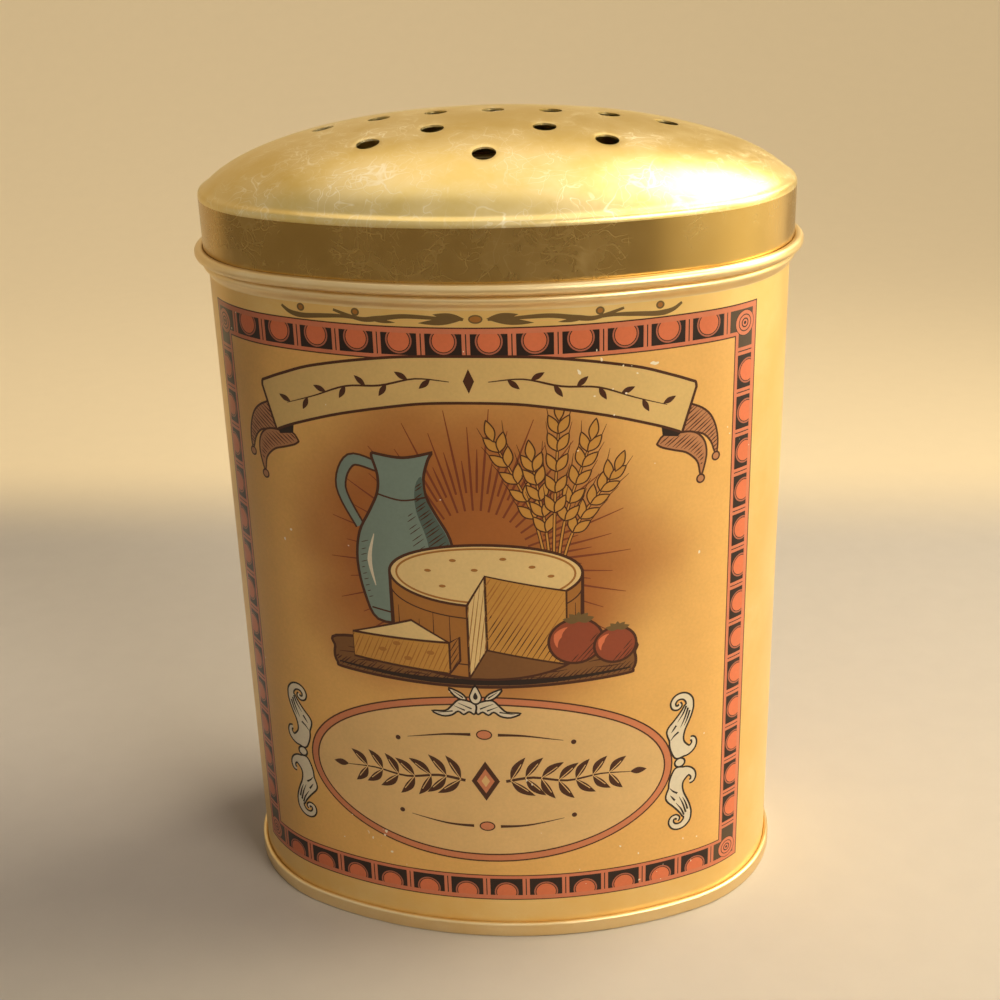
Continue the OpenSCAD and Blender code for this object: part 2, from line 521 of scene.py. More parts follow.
@dataclass(frozen=True)
class LithoInk:
    """Offset printing ink on tinplate, stoved under a gloss varnish.

    Ink under varnish looks flat in colour and slightly mottled, with a soft gloss that small
    waves in the sheet break up.
    """

    name: str
    colour: str
    mottle: float = 0.042
    mottle_size: float = 5.0
    grain_size: float = 0.45
    grain_span: Point = (0.7, 1.3)
    roughness: float = 0.33
    gloss_spread: Point = (-0.05, 0.07)
    index: float = 1.5
    specular: float = 0.35
    varnish: float = 0.12
    varnish_roughness: float = 0.12
    wave_size: float = 14.0
    wave_depth: float = 0.02
    wave_strength: float = 0.6
    nick_size: float = 0.75
    nick_field: float = 17.0
    nick_patch: Point = (0.55, 0.75)
    nick_rise: float = 0.12
    nick_edge: Point = (0.92, 0.935)
    bare: str = "E9DEC6"
    cloud: str = ""
    cloud_middle: Point = (-2.3, 63.0)
    cloud_half: Point = (28.0, 28.0)
    cloud_drift: float = 22.0
    cloud_edge: Point = (0.75, 1.75)

    def make(self) -> bpy.types.Material:
        """Build the finish.

        Returns:
            The new material.
        """
        material, tree, shader, place = new_material("litho_ink_" + self.name)
        mottle, grain, patch, speck, wave = (
            add_node(tree, "ShaderNodeTexNoise", {
                "Vector": place, "Scale": scale_of(size), "Detail": detail}).outputs["Fac"]
            for size, detail in ((self.mottle_size, 3.0), (self.grain_size, 1.0), (self.nick_field, 0.0),
                                 (self.nick_size, 0.0), (self.wave_size, 1.0)))
        both = add_node(tree, "ShaderNodeMath", {0: mottle, 1: grain}, operation="ADD")
        level = add_node(tree, "ShaderNodeMapRange", {
            "Value": both.outputs[0], "From Min": self.grain_span[0], "From Max": self.grain_span[1],
            "To Min": 1.0 - self.mottle, "To Max": 1.0 + self.mottle})
        colour = self.airbrush(tree, place) if self.cloud else linear(self.colour)[:3]
        toned = add_node(tree, "ShaderNodeVectorMath", {
            0: colour, "Scale": level.outputs["Result"]}, operation="SCALE")
        chance = add_node(tree, "ShaderNodeMapRange", {
            "Value": patch, "From Min": self.nick_patch[0], "From Max": self.nick_patch[1],
            "To Min": 0.0, "To Max": self.nick_rise})
        reached = add_node(tree, "ShaderNodeMath", {0: speck, 1: chance.outputs["Result"]}, operation="ADD")
        nick = add_node(tree, "ShaderNodeMapRange", {
            "Value": reached.outputs[0], "From Min": self.nick_edge[0], "From Max": self.nick_edge[1]})
        worn = add_node(tree, "ShaderNodeMix", {
            0: nick.outputs["Result"], 6: toned.outputs["Vector"], 7: linear(self.bare)}, data_type="RGBA")
        gloss = add_node(tree, "ShaderNodeMapRange", {
            "Value": mottle, "From Min": NOISE_SPAN[0], "From Max": NOISE_SPAN[1],
            "To Min": self.roughness + self.gloss_spread[0],
            "To Max": self.roughness + self.gloss_spread[1]})
        bump = add_node(tree, "ShaderNodeBump", {
            "Height": wave, "Strength": self.wave_strength, "Distance": self.wave_depth * MM})
        set_inputs(shader, {
            "Base Color": worn.outputs[2],
            "Roughness": gloss.outputs["Result"],
            "Normal": bump.outputs["Normal"],
            "IOR": self.index,
            "Specular IOR Level": self.specular,
            "Coat Weight": self.varnish,
            "Coat Roughness": self.varnish_roughness})
        return material

    def airbrush(self, tree: Tree, place: Socket) -> Socket:
        """Blend a sprayed cloud into the ink round the middle of the panel.

        Args:
            tree: the material's nodes.
            place: the object coordinates.

        Returns:
            The socket with the blended colour.
        """
        axes = add_node(tree, "ShaderNodeSeparateXYZ", {0: place}).outputs
        radius: Any = 0.0
        for axis, middle, half in zip("XZ", self.cloud_middle, self.cloud_half):
            away = add_node(tree, "ShaderNodeMath", {0: axes[axis], 1: middle * MM}, operation="SUBTRACT")
            share = add_node(tree, "ShaderNodeMath", {
                0: away.outputs[0], 1: half * MM}, operation="DIVIDE").outputs[0]
            radius = add_node(tree, "ShaderNodeMath", {
                0: share, 1: share, 2: radius}, operation="MULTIPLY_ADD").outputs[0]
        drift = add_node(tree, "ShaderNodeTexNoise", {
            "Vector": place, "Scale": scale_of(self.cloud_drift), "Detail": 2.0})
        uneven = add_node(tree, "ShaderNodeMath", {0: radius, 1: drift.outputs["Fac"]}, operation="ADD")
        spray = add_node(tree, "ShaderNodeMapRange", {
            "Value": uneven.outputs[0], "From Min": self.cloud_edge[0], "From Max": self.cloud_edge[1],
            "To Min": 1.0, "To Max": 0.0}, interpolation_type="SMOOTHSTEP")
        mixed = add_node(tree, "ShaderNodeMix", {
            0: spray.outputs["Result"], 6: linear(self.colour), 7: linear(self.cloud)}, data_type="RGBA")
        return mixed.outputs[2]


@dataclass(frozen=True)
class GoldLacquer:
    """Bright tinplate under a clear gold lacquer, rolled on and stoved.

    Lacquered metal has a deep warm gloss. Handling leaves fine curved hairlines and a mist of
    rubbed patches, which catch the light. The hairlines are drawn wider than they are, to show.
    """

    name: str
    colour: str
    rubbed: str
    metallic: float = 1.0
    roughness: float = 0.3
    hairline: float = 0.009
    hairline_sizes: tuple[float, ...] = (3.2, 4.6, 6.5)
    hairline_shift: Place = (0.13, 0.07, 0.11)
    hairline_twist: float = 0.8
    hairline_mark: float = 0.7
    hairline_depth: float = 0.02
    hairline_strength: float = 0.35
    rub_size: float = 9.0
    rub_edge: Point = (0.38, 0.68)
    rub_share: float = 0.35
    rub_dulling: float = 0.16
    wave_size: float = 11.0
    wave_depth: float = 0.05

    def make(self) -> bpy.types.Material:
        """Build the finish.

        Returns:
            The new material.
        """
        material, tree, shader, place = new_material(self.name)
        marks: Any = 0.0
        for number, size in enumerate(self.hairline_sizes):
            layer = add_node(tree, "ShaderNodeVectorMath", {
                0: place, 1: [v * number for v in self.hairline_shift]}, operation="ADD")
            wander = add_node(tree, "ShaderNodeTexNoise", {
                "Vector": layer.outputs[0], "Scale": scale_of(size), "Detail": 1.5,
                "Distortion": self.hairline_twist})
            away = add_node(tree, "ShaderNodeMath", {
                0: wander.outputs["Fac"], 1: 0.5}, operation="SUBTRACT")
            apart = add_node(tree, "ShaderNodeMath", {0: away.outputs[0]}, operation="ABSOLUTE")
            line = add_node(tree, "ShaderNodeMapRange", {
                "Value": apart.outputs[0], "From Min": 0.0, "From Max": self.hairline,
                "To Min": 1.0, "To Max": 0.0})
            marks = add_node(tree, "ShaderNodeMath", {
                0: marks, 1: line.outputs["Result"]}, operation="MAXIMUM").outputs[0]
        rub = add_node(tree, "ShaderNodeTexNoise", {
            "Vector": place, "Scale": scale_of(self.rub_size), "Detail": 4.0, "Roughness": 0.6})
        patch = add_node(tree, "ShaderNodeMapRange", {
            "Value": rub.outputs["Fac"], "From Min": self.rub_edge[0],
            "From Max": self.rub_edge[1]}).outputs["Result"]
        shown = add_node(tree, "ShaderNodeMath", {0: marks, 1: patch}, operation="MULTIPLY").outputs[0]
        strength = add_node(tree, "ShaderNodeMath", {0: shown, 1: self.hairline_mark}, operation="MULTIPLY")
        worn = add_node(tree, "ShaderNodeMath", {
            0: patch, 1: self.rub_share, 2: strength.outputs[0]}, operation="MULTIPLY_ADD",
            use_clamp=True).outputs[0]
        tint = add_node(tree, "ShaderNodeMix", {
            0: worn, 6: linear(self.colour), 7: linear(self.rubbed)}, data_type="RGBA")
        gloss = add_node(tree, "ShaderNodeMapRange", {
            "Value": worn, "To Min": self.roughness, "To Max": self.roughness + self.rub_dulling})
        wave = add_node(tree, "ShaderNodeTexNoise", {
            "Vector": place, "Scale": scale_of(self.wave_size), "Detail": 1.0})
        waves = add_node(tree, "ShaderNodeBump", {
            "Height": wave.outputs["Fac"], "Strength": 1.0, "Distance": self.wave_depth * MM})
        cuts = add_node(tree, "ShaderNodeBump", {
            "Height": shown, "Strength": self.hairline_strength,
            "Distance": self.hairline_depth * MM, "Normal": waves.outputs["Normal"]}, invert=True)
        set_inputs(shader, {
            "Base Color": tint.outputs[2],
            "Roughness": gloss.outputs["Result"],
            "Normal": cuts.outputs["Normal"],
            "Metallic": self.metallic})
        return material


@dataclass(frozen=True)
class BrightTinplate:
    """Electrolytic tinplate under a clear food lacquer, as rolled at the mill.

    It is a cool silver with faint lines along the rolling direction, drawn coarser than they
    are, to show.
    """

    name: str = "clear_lacquered_tinplate"
    colour: str = "C9C6BC"
    dull: str = "A9A598"
    metallic: float = 0.7
    roughness: float = 0.42
    gloss_spread: Point = (-0.06, 0.08)
    line_size: float = 0.8
    line_stretch: float = 30.0

    def make(self) -> bpy.types.Material:
        """Build the finish.

        Returns:
            The new material.
        """
        material, tree, shader, place = new_material(self.name)
        squeeze = 1.0 / self.line_stretch
        drawn = add_node(tree, "ShaderNodeMapping", {"Vector": place, "Scale": (squeeze, squeeze, 1.0)})
        lines = add_node(tree, "ShaderNodeTexNoise", {
            "Vector": drawn.outputs["Vector"], "Scale": scale_of(self.line_size),
            "Detail": 2.0}).outputs["Fac"]
        tint = add_node(tree, "ShaderNodeMix", {
            0: lines, 6: linear(self.colour), 7: linear(self.dull)}, data_type="RGBA")
        gloss = add_node(tree, "ShaderNodeMapRange", {
            "Value": lines, "To Min": self.roughness + self.gloss_spread[0],
            "To Max": self.roughness + self.gloss_spread[1]})
        set_inputs(shader, {
            "Base Color": tint.outputs[2],
            "Roughness": gloss.outputs["Result"],
            "Metallic": self.metallic})
        return material


@dataclass(frozen=True)
class StudioPaper:
    """Matt seamless paper with a sprayed grade, paler towards the wall, and a faint fibre mottle."""

    name: str = "matt_seamless_paper"
    colour: str = "BFB6AC"
    wall: str = "B4A488"
    grade: Point = (112.0, 172.0)
    far: Point = (580.0, 1050.0)
    glow: str = "FFDFA8"
    glow_level: float = 0.46
    mottle: float = 0.03
    fibre: float = 6.0
    roughness: float = 0.9

    def make(self) -> bpy.types.Material:
        """Build the finish.

        Returns:
            The new material.
        """
        material, tree, shader, place = new_material(self.name)
        along = add_node(tree, "ShaderNodeSeparateXYZ", {0: place}).outputs["Y"]
        away = add_node(tree, "ShaderNodeVectorMath", {0: place}, operation="LENGTH").outputs["Value"]
        wall, distant = (
            add_node(tree, "ShaderNodeMapRange", {
                "Value": value, "From Min": span[0] * MM, "From Max": span[1] * MM},
                interpolation_type="SMOOTHSTEP").outputs["Result"]
            for value, span in ((along, self.grade), (away, self.far)))
        tint = add_node(tree, "ShaderNodeMix", {
            0: wall, 6: linear(self.colour), 7: linear(self.wall)}, data_type="RGBA")
        fibre = add_node(tree, "ShaderNodeTexNoise", {
            "Vector": place, "Scale": scale_of(self.fibre), "Detail": 5.0})
        level = add_node(tree, "ShaderNodeMapRange", {
            "Value": fibre.outputs["Fac"], "From Min": NOISE_SPAN[0], "From Max": NOISE_SPAN[1],
            "To Min": 1.0 - self.mottle, "To Max": 1.0})
        toned = add_node(tree, "ShaderNodeVectorMath", {
            0: tint.outputs[2], "Scale": level.outputs["Result"]}, operation="SCALE")
        pale = add_node(tree, "ShaderNodeMath", {0: wall, 1: distant}, operation="MAXIMUM")
        shown = add_node(tree, "ShaderNodeMath", {
            0: looked_at(tree), 1: pale.outputs[0]}, operation="MULTIPLY")
        glow = add_node(tree, "ShaderNodeMath", {
            0: shown.outputs[0], 1: self.glow_level}, operation="MULTIPLY")
        set_inputs(shader, {
            "Base Color": toned.outputs["Vector"],
            "Roughness": self.roughness,
            "Emission Color": linear(self.glow),
            "Emission Strength": glow.outputs[0]})
        return material


class Ink(Enum):
    """The printing inks, in the order of the sleeve's material slots."""

    GOLD = GoldLacquer("gold_ink_over_tinplate", "EBC376", "F1DAA0", metallic=0.5, roughness=0.33,
                       hairline_mark=0.15, wave_depth=0.06)
    GROUND = LithoInk("golden_ground", "DEAC62", cloud="A15F2A")
    BLACK = LithoInk("brown_black", "20100B", mottle=0.12)
    RAIL = LithoInk("salmon_rail", "CB7756")
    DISC = LithoInk("terracotta_disc", "D27049")
    RING = LithoInk("brown_ring", "A8624A")
    LINE = LithoInk("brown_line", "44200F")
    RIBBON = LithoInk("cream_ribbon", "D4B272")
    CARTOUCHE = LithoInk("cream_oval", "D9B277")
    FRAME = LithoInk("terracotta_frame", "C87B54")
    TAIL = LithoInk("dusty_tail", "B27A52")
    SCROLL = LithoInk("grey_white_scroll", "D9CDB4")
    VINE = LithoInk("olive_vine", "6D5530")
    PASTE = LithoInk("pale_paste", "DFC084")
    RIND = LithoInk("ochre_rind", "A26A2E")
    GLAZE = LithoInk("grey_teal_glaze", "76877D")
    GLAZE_SHADE = LithoInk("deep_teal_glaze", "4F5F58")
    FRUIT = LithoInk("red_fruit", "8C4229")
    WOOD = LithoInk("brown_board", "7A5029")
    STRAW = LithoInk("straw_ears", "C08A3E")
    BLOCK = LithoInk("olive_block", "4A3A29")
    RAY = LithoInk("red_brown_ray", "77381D")

    @property
    def slot(self) -> int:
        """Number of the ink's material slot."""
        return list(Ink).index(self)


# The print

@dataclass
class Artwork:
    """Inked shapes on the flattened sheet, later ones over earlier ones.

    No straight run along the sheet is longer than the step, so that a shape follows its curve.
    """

    step: float = 1.2
    shapes: list[Shape] = field(default_factory=list)

    def fill(self, ink: Ink, outline: Sequence[Point]) -> None:
        """Ink a closed outline.

        Args:
            ink: its ink.
            outline: its corners.
        """
        ordered = list(outline) if area_of(outline) > 0 else list(outline)[::-1]
        refined: list[Point] = []
        for a, b in around(ordered):
            pieces = max(1, math.ceil(abs(b[0] - a[0]) / self.step))
            refined.extend((a[0] + (b[0] - a[0]) * k / pieces, a[1] + (b[1] - a[1]) * k / pieces)
                           for k in range(pieces))
        self.shapes.append((ink, refined))

    def box(self, ink: Ink, s0: float, z0: float, s1: float, z1: float) -> None:
        """Ink a rectangle."""
        self.fill(ink, [(s0, z0), (s1, z0), (s1, z1), (s0, z1)])

    def line(self, ink: Ink, path: Sequence[Point], width: float | Sequence[float],
             closed: bool = False) -> None:
        """Ink a line of even or changing width.

        Args:
            ink: its ink.
            path: the points of its middle.
            width: one width, or widths that are spread evenly along it.
            closed: whether it comes back to its start.
        """
        count = len(path)
        widths = [width] * 2 if isinstance(width, (int, float)) else list(width)
        sides = []
        for i, (p, n) in enumerate(zip(path, normals_of(path, closed))):
            at = i / max(count - 1, 1) * (len(widths) - 1)
            k = min(int(at), len(widths) - 2)
            half = 0.5 * (widths[k] + (widths[k + 1] - widths[k]) * (at - k))
            sides.append((moved(p, n, half), moved(p, n, -half)))
        pairs = around(sides) if closed else zip(sides, sides[1:])
        for near, far in pairs:
            self.fill(ink, hull_of([*near, *far]))

    def outlined(self, ink: Ink, outline: Sequence[Point], width: float, line: Ink = Ink.LINE) -> None:
        """Ink a closed outline and draw its edge."""
        self.fill(ink, outline)
        self.line(line, outline, width, closed=True)

    def rule(self, ink: Ink, outline: Sequence[Point], slant: float, spacing: float,
             width: float) -> None:
        """Rule strokes right across an outline.

        Args:
            ink: their ink.
            outline: the shape that holds them.
            slant: their direction in degrees.
            spacing: distance between them.
            width: their width in the middle.
        """
        way = (math.cos(math.radians(slant)), math.sin(math.radians(slant)))
        turned = [(p[0] * way[0] + p[1] * way[1], p[1] * way[0] - p[0] * way[1]) for p in outline]
        low, high = min(p[1] for p in turned), max(p[1] for p in turned)
        for k in range(int((high - low) / spacing)):
            # Spacing and ends waver as an engraver's strokes do
            level = low + spacing * (k + 0.5 + 0.2 * math.sin(3.1 * k))
            cuts = []
            for a, b in around(turned):
                if (a[1] - level) * (b[1] - level) < 0.0:
                    cuts.append(a[0] + (b[0] - a[0]) * (level - a[1]) / (b[1] - a[1]))
            cuts.sort()
            for first, last in zip(cuts[::2], cuts[1::2]):
                ease = 0.06 + 0.1 * abs(math.sin(1.7 * k))
                first, last = first + ease, last - ease * (1.0 + k % 3)
                if last - first > 0.3:
                    row = [(x * way[0] - level * way[1], x * way[1] + level * way[0])
                           for x in (first, 0.5 * (first + last), last)]
                    self.line(ink, row, [0.08, width, 0.05])


@dataclass
class PanelPrint(Artwork):
    """The printed panel of the sleeve: border, ribbon, still life and oval."""

    middle: float = -2.35
    half_w: float = 41.7
    low: float = 6.35
    high: float = 96.6
    rail: float = 0.7
    cell: float = 3.0
    column: float = 2.7
    inner_rail: float = 0.5
    edge: float = 0.18
    pitch: Point = (6.0, 5.9)
    cells: tuple[int, int] = (12, 13)
    corner_arm: float = 5.5
    bar_half: float = 0.55
    bar_gap: float = 0.08
    # How far in a disc's middle is, on the lower rail, the side rails and the upper rail
    disc_sink: Place = (0.55, 0.68, 1.0)
    disc_r: float = 1.48
    ring_r: float = 1.82
    ring_w: float = 0.22
    roundel_r: float = 1.82
    roundel_in: Point = (2.4, 2.4)
    roundel_drop: float = 0.45
    ornament_middle: float = -2.2
    oval_middle: Point = (-1.9, 27.6)
    oval_half: Point = (28.3, 14.28)

    def draw(self) -> list[Shape]:
        """Draw every part of the panel in printing order.

        Returns:
            The inked shapes.
        """
        self.draw_border()
        self.draw_vine()
        self.draw_still_life()
        self.draw_ribbon()
        self.draw_oval()
        self.draw_scrolls()
        self.draw_crest()
        return self.shapes

    def both(self, points: Sequence[Point]) -> list[list[Point]]:
        """A path and its mirror image on the other half of the panel."""
        return [list(points), [(2.0 * self.ornament_middle - s, z) for s, z in points]]

    def four_ways(self, points: Sequence[Point], turn_z: float, flip: float) -> list[list[Point]]:
        """A path and its mirror image, turned over at a height where flip is -1."""
        return self.both([(s, turn_z + flip * (z - turn_z)) for s, z in points])

    def draw_border(self) -> None:
        """Draw the rails, bars, discs and roundels of the border."""
        left, right = self.middle - self.half_w, self.middle + self.half_w
        low, high = self.low, self.high
        middle_z = 0.5 * (low + high)
        deep = self.rail + self.edge
        for ink, inset, past in ((Ink.LINE, 0.0, 0), (Ink.RAIL, self.edge, 0), (Ink.BLACK, deep, 0),
                                 (Ink.RAIL, deep, 1), (Ink.LINE, deep + self.inner_rail, 1),
                                 (Ink.GROUND, deep + self.inner_rail + self.edge, 1)):
            in_s, in_z = inset + past * self.column, inset + past * self.cell
            self.box(ink, left + in_s, low + in_z, right - in_s, high - in_z)
        for way_s, s in ((1.0, left), (-1.0, right)):
            for way_z, z in ((1.0, low), (-1.0, high)):
                self.draw_corner((s + way_s * deep, z + way_z * deep), (way_s, way_z))
                drop = self.roundel_in[1] + (self.roundel_drop if way_z < 0.0 else 0.0)
                self.draw_roundel((s + way_s * self.roundel_in[0], z + way_z * drop))
        for side in (1, -1):
            foot_s = (right if side > 0 else left) - side * deep
            foot_z = (high if side > 0 else low) - side * deep
            for axis, inward in ((0, (0, -side)), (1, (-side, 0))):
                cells = self.cells[axis]
                for draw, count, start in ((self.draw_bar, cells + 1, 0.0), (self.draw_disc, cells, 0.5)):
                    for k in range(count):
                        along = self.pitch[axis] * (k + start - 0.5 * cells)
                        foot = (foot_s, middle_z + along) if axis else (self.middle + along, foot_z)
                        draw(foot, inward)

    def draw_bar(self, foot: Point, inward: Point) -> None:
        """Draw the pair of strips that parts two cells of the border.

        Args:
            foot: the bar's middle on the outer rail.
            inward: direction towards the panel's middle.
        """
        deep = self.column if inward[0] else self.cell
        for near, far in ((-self.bar_half, -self.bar_gap), (self.bar_gap, self.bar_half)):
            corners = ((near, 0.0), (far, 0.0), (far, deep), (near, deep))
            self.fill(Ink.RAIL, [moved(moved(foot, inward, along), inward[::-1], across)
                                 for across, along in corners])

    def draw_disc(self, foot: Point, inward: Point) -> None:
        """Draw a disc that stands on the outer rail, with a ring round it.

        Args:
            foot: the disc's middle on the outer rail.
            inward: direction towards the panel's middle.
        """
        sink = self.disc_sink[1 - inward[1]]
        centre = moved(foot, inward, sink)
        facing = math.degrees(math.atan2(inward[1], inward[0]))
        for ink, radius in ((Ink.RING, self.ring_r), (Ink.BLACK, self.ring_r - self.ring_w),
                            (Ink.DISC, self.disc_r)):
            swing = math.degrees(math.acos(min(sink / radius, 1.0)))
            self.fill(ink, arc(centre, radius, facing - 180.0 + swing, facing + 180.0 - swing, 20))

    def draw_corner(self, corner: Point, way: Point) -> None:
        """Draw the plain blocks that fill a corner of the border.

        Args:
            corner: the outer rail's inner corner.
            way: signs of the directions towards the panel's middle.
        """
        for long_s, long_z in ((self.corner_arm, self.cell), (self.column, self.corner_arm)):
            far = (corner[0] + way[0] * long_s, corner[1] + way[1] * long_z)
            self.box(Ink.BLOCK, corner[0], corner[1], far[0], far[1])

    def draw_roundel(self, centre: Point) -> None:
        """Draw the ringed boss in a corner of the border.

        Args:
            centre: its middle.
        """
        for ink, radius in ((Ink.BLACK, 1.0), (Ink.RAIL, 0.95), (Ink.BLACK, 0.67), (Ink.RAIL, 0.59),
                            (Ink.BLACK, 0.37), (Ink.RAIL, 0.27), (Ink.BLACK, 0.13)):
            self.fill(ink, ellipse(centre, radius * self.roundel_r, radius * self.roundel_r))

    def draw_vine(self) -> None:
        """Draw the running vine above the border."""
        middle = -1.0
        stems = ([(0.6, 97.6), (4.0, 97.8), (8.5, 97.95), (12.0, 97.5), (14.6, 97.3), (18.4, 98.3)],
                 [(13.6, 97.2), (17.0, 97.5), (20.0, 97.35), (23.2, 97.1), (25.2, 97.4), (26.5, 98.2)])
        leaves = (((0.4, 97.75), (4.6, 98.3), 0.95), ((1.0, 97.5), (6.6, 97.1), 0.85),
                  ((13.2, 97.3), (9.6, 97.05), 0.5))
        for side in (1.0, -1.0):
            for stem in stems:
                path = smooth_path([(middle + side * (s - middle), z) for s, z in stem])
                self.line(Ink.VINE, path, [0.25, 0.58, 0.74, 0.34])
            for base, tip, width in leaves:
                ends = [(middle + side * (s - middle), z) for s, z in (base, tip)]
                self.fill(Ink.VINE, leaf_outline(ends[0], ends[1], width))
            for s in (15.2, 23.4):
                berry = (middle + side * (s - middle), 98.2)
                self.fill(Ink.VINE, ellipse(berry, 0.6, 0.55, 16))
                self.fill(Ink.RIND, ellipse(berry, 0.34, 0.32, 12))
        self.outlined(Ink.RIND, ellipse((middle, 97.7), 0.85, 0.5, 16), 0.2, Ink.VINE)

    def draw_ribbon(self) -> None:
        """Draw the ribbon across the top of the panel with its folded tails."""
        upper_tail = [(27.6, 84.1), (28.4, 83.8), (30.0, 83.0), (31.3, 81.8), (32.2, 80.0), (32.6, 78.0),
                      (32.5, 76.2), (32.1, 76.3), (31.5, 77.8), (30.5, 79.0), (29.3, 79.6),
                      (27.0, 80.2)]
        lower_tail = [(24.2, 80.0), (23.2, 78.85), (23.2, 78.75), (24.0, 78.2), (26.0, 77.5), (27.5, 77.0),
                      (28.8, 76.0), (29.5, 75.0), (29.85, 73.4), (30.2, 73.5), (30.8, 76.0),
                      (30.5, 78.0), (29.5, 79.3), (28.2, 79.9), (26.5, 80.0)]
        fold = [(23.8, 81.3), (26.9, 80.2), (26.3, 79.5), (24.0, 79.9)]
        for tail, ball in ((upper_tail, (32.35, 75.6)), (lower_tail, (29.95, 72.7))):
            shape = smooth_path(tail, closed=True, steps=3)
            shade = offset(shape, -0.25, closed=True)
            for outline, ruled, slant in zip(self.both(shape), self.both(shade), (35.0, 145.0)):
                self.outlined(Ink.TAIL, outline, 0.3)
                self.rule(Ink.LINE, ruled, slant, 0.52, 0.2)
            for centre in self.both([ball]):
                self.outlined(Ink.TAIL, ellipse(centre[0], 0.6, 0.6, 16), 0.26)
        for outline in self.both(fold):
            self.fill(Ink.BLACK, outline)
        top = [(28.95, 86.2), (28.8, 86.9), (28.2, 87.2), (25.0, 88.5), (20.0, 90.2), (12.0, 91.8),
               (4.0, 92.6)]
        bottom = [(26.9, 80.0), (23.0, 81.6), (16.0, 83.8), (8.0, 85.5), (2.0, 86.2)]
        upper, lower = (smooth_path(half + other[::-1]) for half, other in map(self.both, (top, bottom)))
        self.outlined(Ink.RIBBON, upper + lower[::-1], 0.4)
        self.draw_ribbon_sprig()

    def draw_ribbon_sprig(self) -> None:
        """Draw a lozenge and two leafy runs on the ribbon."""
        middle = self.ornament_middle
        self.fill(Ink.LINE, [(middle - 0.75, 89.3), (middle, 87.6), (middle + 0.75, 89.3), (middle, 91.0)])
        run = [(0.4, 89.2), (5.0, 89.5), (10.0, 88.3), (15.0, 87.8), (20.0, 85.9), (24.6, 84.3)]
        stem = smooth_path(run, steps=5)
        for path in self.both(stem):
            self.line(Ink.LINE, path, [0.12, 0.3, 0.26, 0.1])
        for number, here in enumerate(stem[3:-1:3]):
            lean = heading(here, stem[3 + 3 * number + 1])
            tip = polar(here, 2.1, lean + (0.75 if number % 2 else -0.75))
            for base, end in self.both([here, tip]):
                self.fill(Ink.LINE, leaf_outline(base, end, 0.8))

    def draw_oval(self) -> None:
        """Draw the oval with its frame and the sprigs in it."""
        middle, half = self.oval_middle, self.oval_half
        for ink, inset in ((Ink.LINE, 0.0), (Ink.FRAME, 0.25), (Ink.LINE, 1.2), (Ink.CARTOUCHE, 1.45)):
            self.fill(ink, ellipse(middle, half[0] - inset, half[1] - inset, 96))
        s0, z0 = middle
        for size, ink in ((1.0, Ink.LINE), (0.62, Ink.FRAME), (0.3, Ink.CARTOUCHE)):
            self.fill(ink, [(s0 - 2.1 * size, z0), (s0, z0 - 3.4 * size), (s0 + 2.1 * size, z0),
                            (s0, z0 + 3.4 * size)])
        run = [(3.0, 0.0), (7.0, 0.6), (12.0, -0.2), (17.0, 0.4), (21.5, 0.0)]
        for side in (1.0, -1.0):
            stem = smooth_path(placed(run, s0, z0, side), steps=4)
            self.line(Ink.LINE, stem, [0.5, 0.4, 0.3, 0.12])
            for number in range(1, len(stem) - 2, 2):
                here = stem[number]
                lean = heading(here, stem[number + 1])
                size = 4.6 - 1.3 * number / len(stem)
                for swing, bend in ((0.85, 0.3), (-0.85, -0.3)):
                    tip = polar(here, size, lean + swing)
                    self.fill(Ink.LINE, leaf_outline(here, tip, 1.25, bend))
                    vein = (here[0] + 0.7 * (tip[0] - here[0]), here[1] + 0.7 * (tip[1] - here[1]))
                    self.line(Ink.CARTOUCHE, [here, vein], 0.14)
            self.fill(Ink.LINE, leaf_outline(stem[-1], (stem[-1][0] + side * 2.6, stem[-1][1]), 1.1))
        for side in (1.0, -1.0):
            z1 = z0 + side * 7.6
            for reach in (1.0, -1.0):
                rule = [(s0 + reach * s, z1 + side * z) for s, z in ((2.0, 0.3), (6.0, 0.1), (11.5, -0.9))]
                self.line(Ink.LINE, smooth_path(rule), [0.5, 0.3, 0.08])
                self.fill(Ink.LINE, ellipse((s0 + reach * 13.0, z1 - side * 1.3), 0.4, 0.4, 12))
            self.outlined(Ink.FRAME, ellipse((s0, z1 + side * 0.3), 1.1, 0.75, 20), 0.2)

    def draw_scrolls(self) -> None:
        """Draw the leaf scrolls at both ends of the oval."""
        body = [(26.9, 28.4), (26.3, 29.5), (26.0, 30.6), (25.95, 31.5), (25.65, 32.3), (25.5, 33.1),
                (25.8, 33.8), (26.5, 34.55), (27.25, 35.4), (27.95, 36.3), (28.5, 37.1), (29.55, 36.9),
                (29.35, 35.5), (28.8, 34.1), (28.25, 32.9), (28.0, 31.7), (28.15, 30.8), (28.7, 30.1),
                (29.2, 29.6), (28.6, 28.7), (27.7, 28.3)]
        head = [(29.08, 36.6), (29.0, 37.7), (28.35, 38.5), (27.5, 38.72), (26.75, 38.45), (26.33, 37.75),
                (26.5, 37.05), (27.08, 36.85), (27.5, 37.2), (27.3, 37.6)]
        foot = [(27.6, 29.3), (28.6, 29.15), (29.5, 29.45), (29.95, 30.2), (29.8, 30.95), (29.3, 31.1)]
        curls = ((head, [1.0, 0.95, 0.85, 0.75, 0.65, 0.55, 0.48, 0.4, 0.3, 0.2]),
                 (foot, [1.7, 1.4, 0.9, 0.6, 0.45, 0.35]))
        veins = ([(28.5, 36.9), (28.0, 35.7), (27.1, 34.4)], [(28.8, 36.5), (28.3, 34.9), (27.6, 33.4)],
                 [(29.1, 36.0), (28.7, 34.7), (28.2, 33.6)], [(26.9, 33.9), (26.1, 32.8)],
                 [(27.3, 32.7), (26.6, 32.2), (26.0, 31.5)])
        edge = 0.6
        turn_z = 27.35
        leaf = smooth_path(body, closed=True, steps=3)
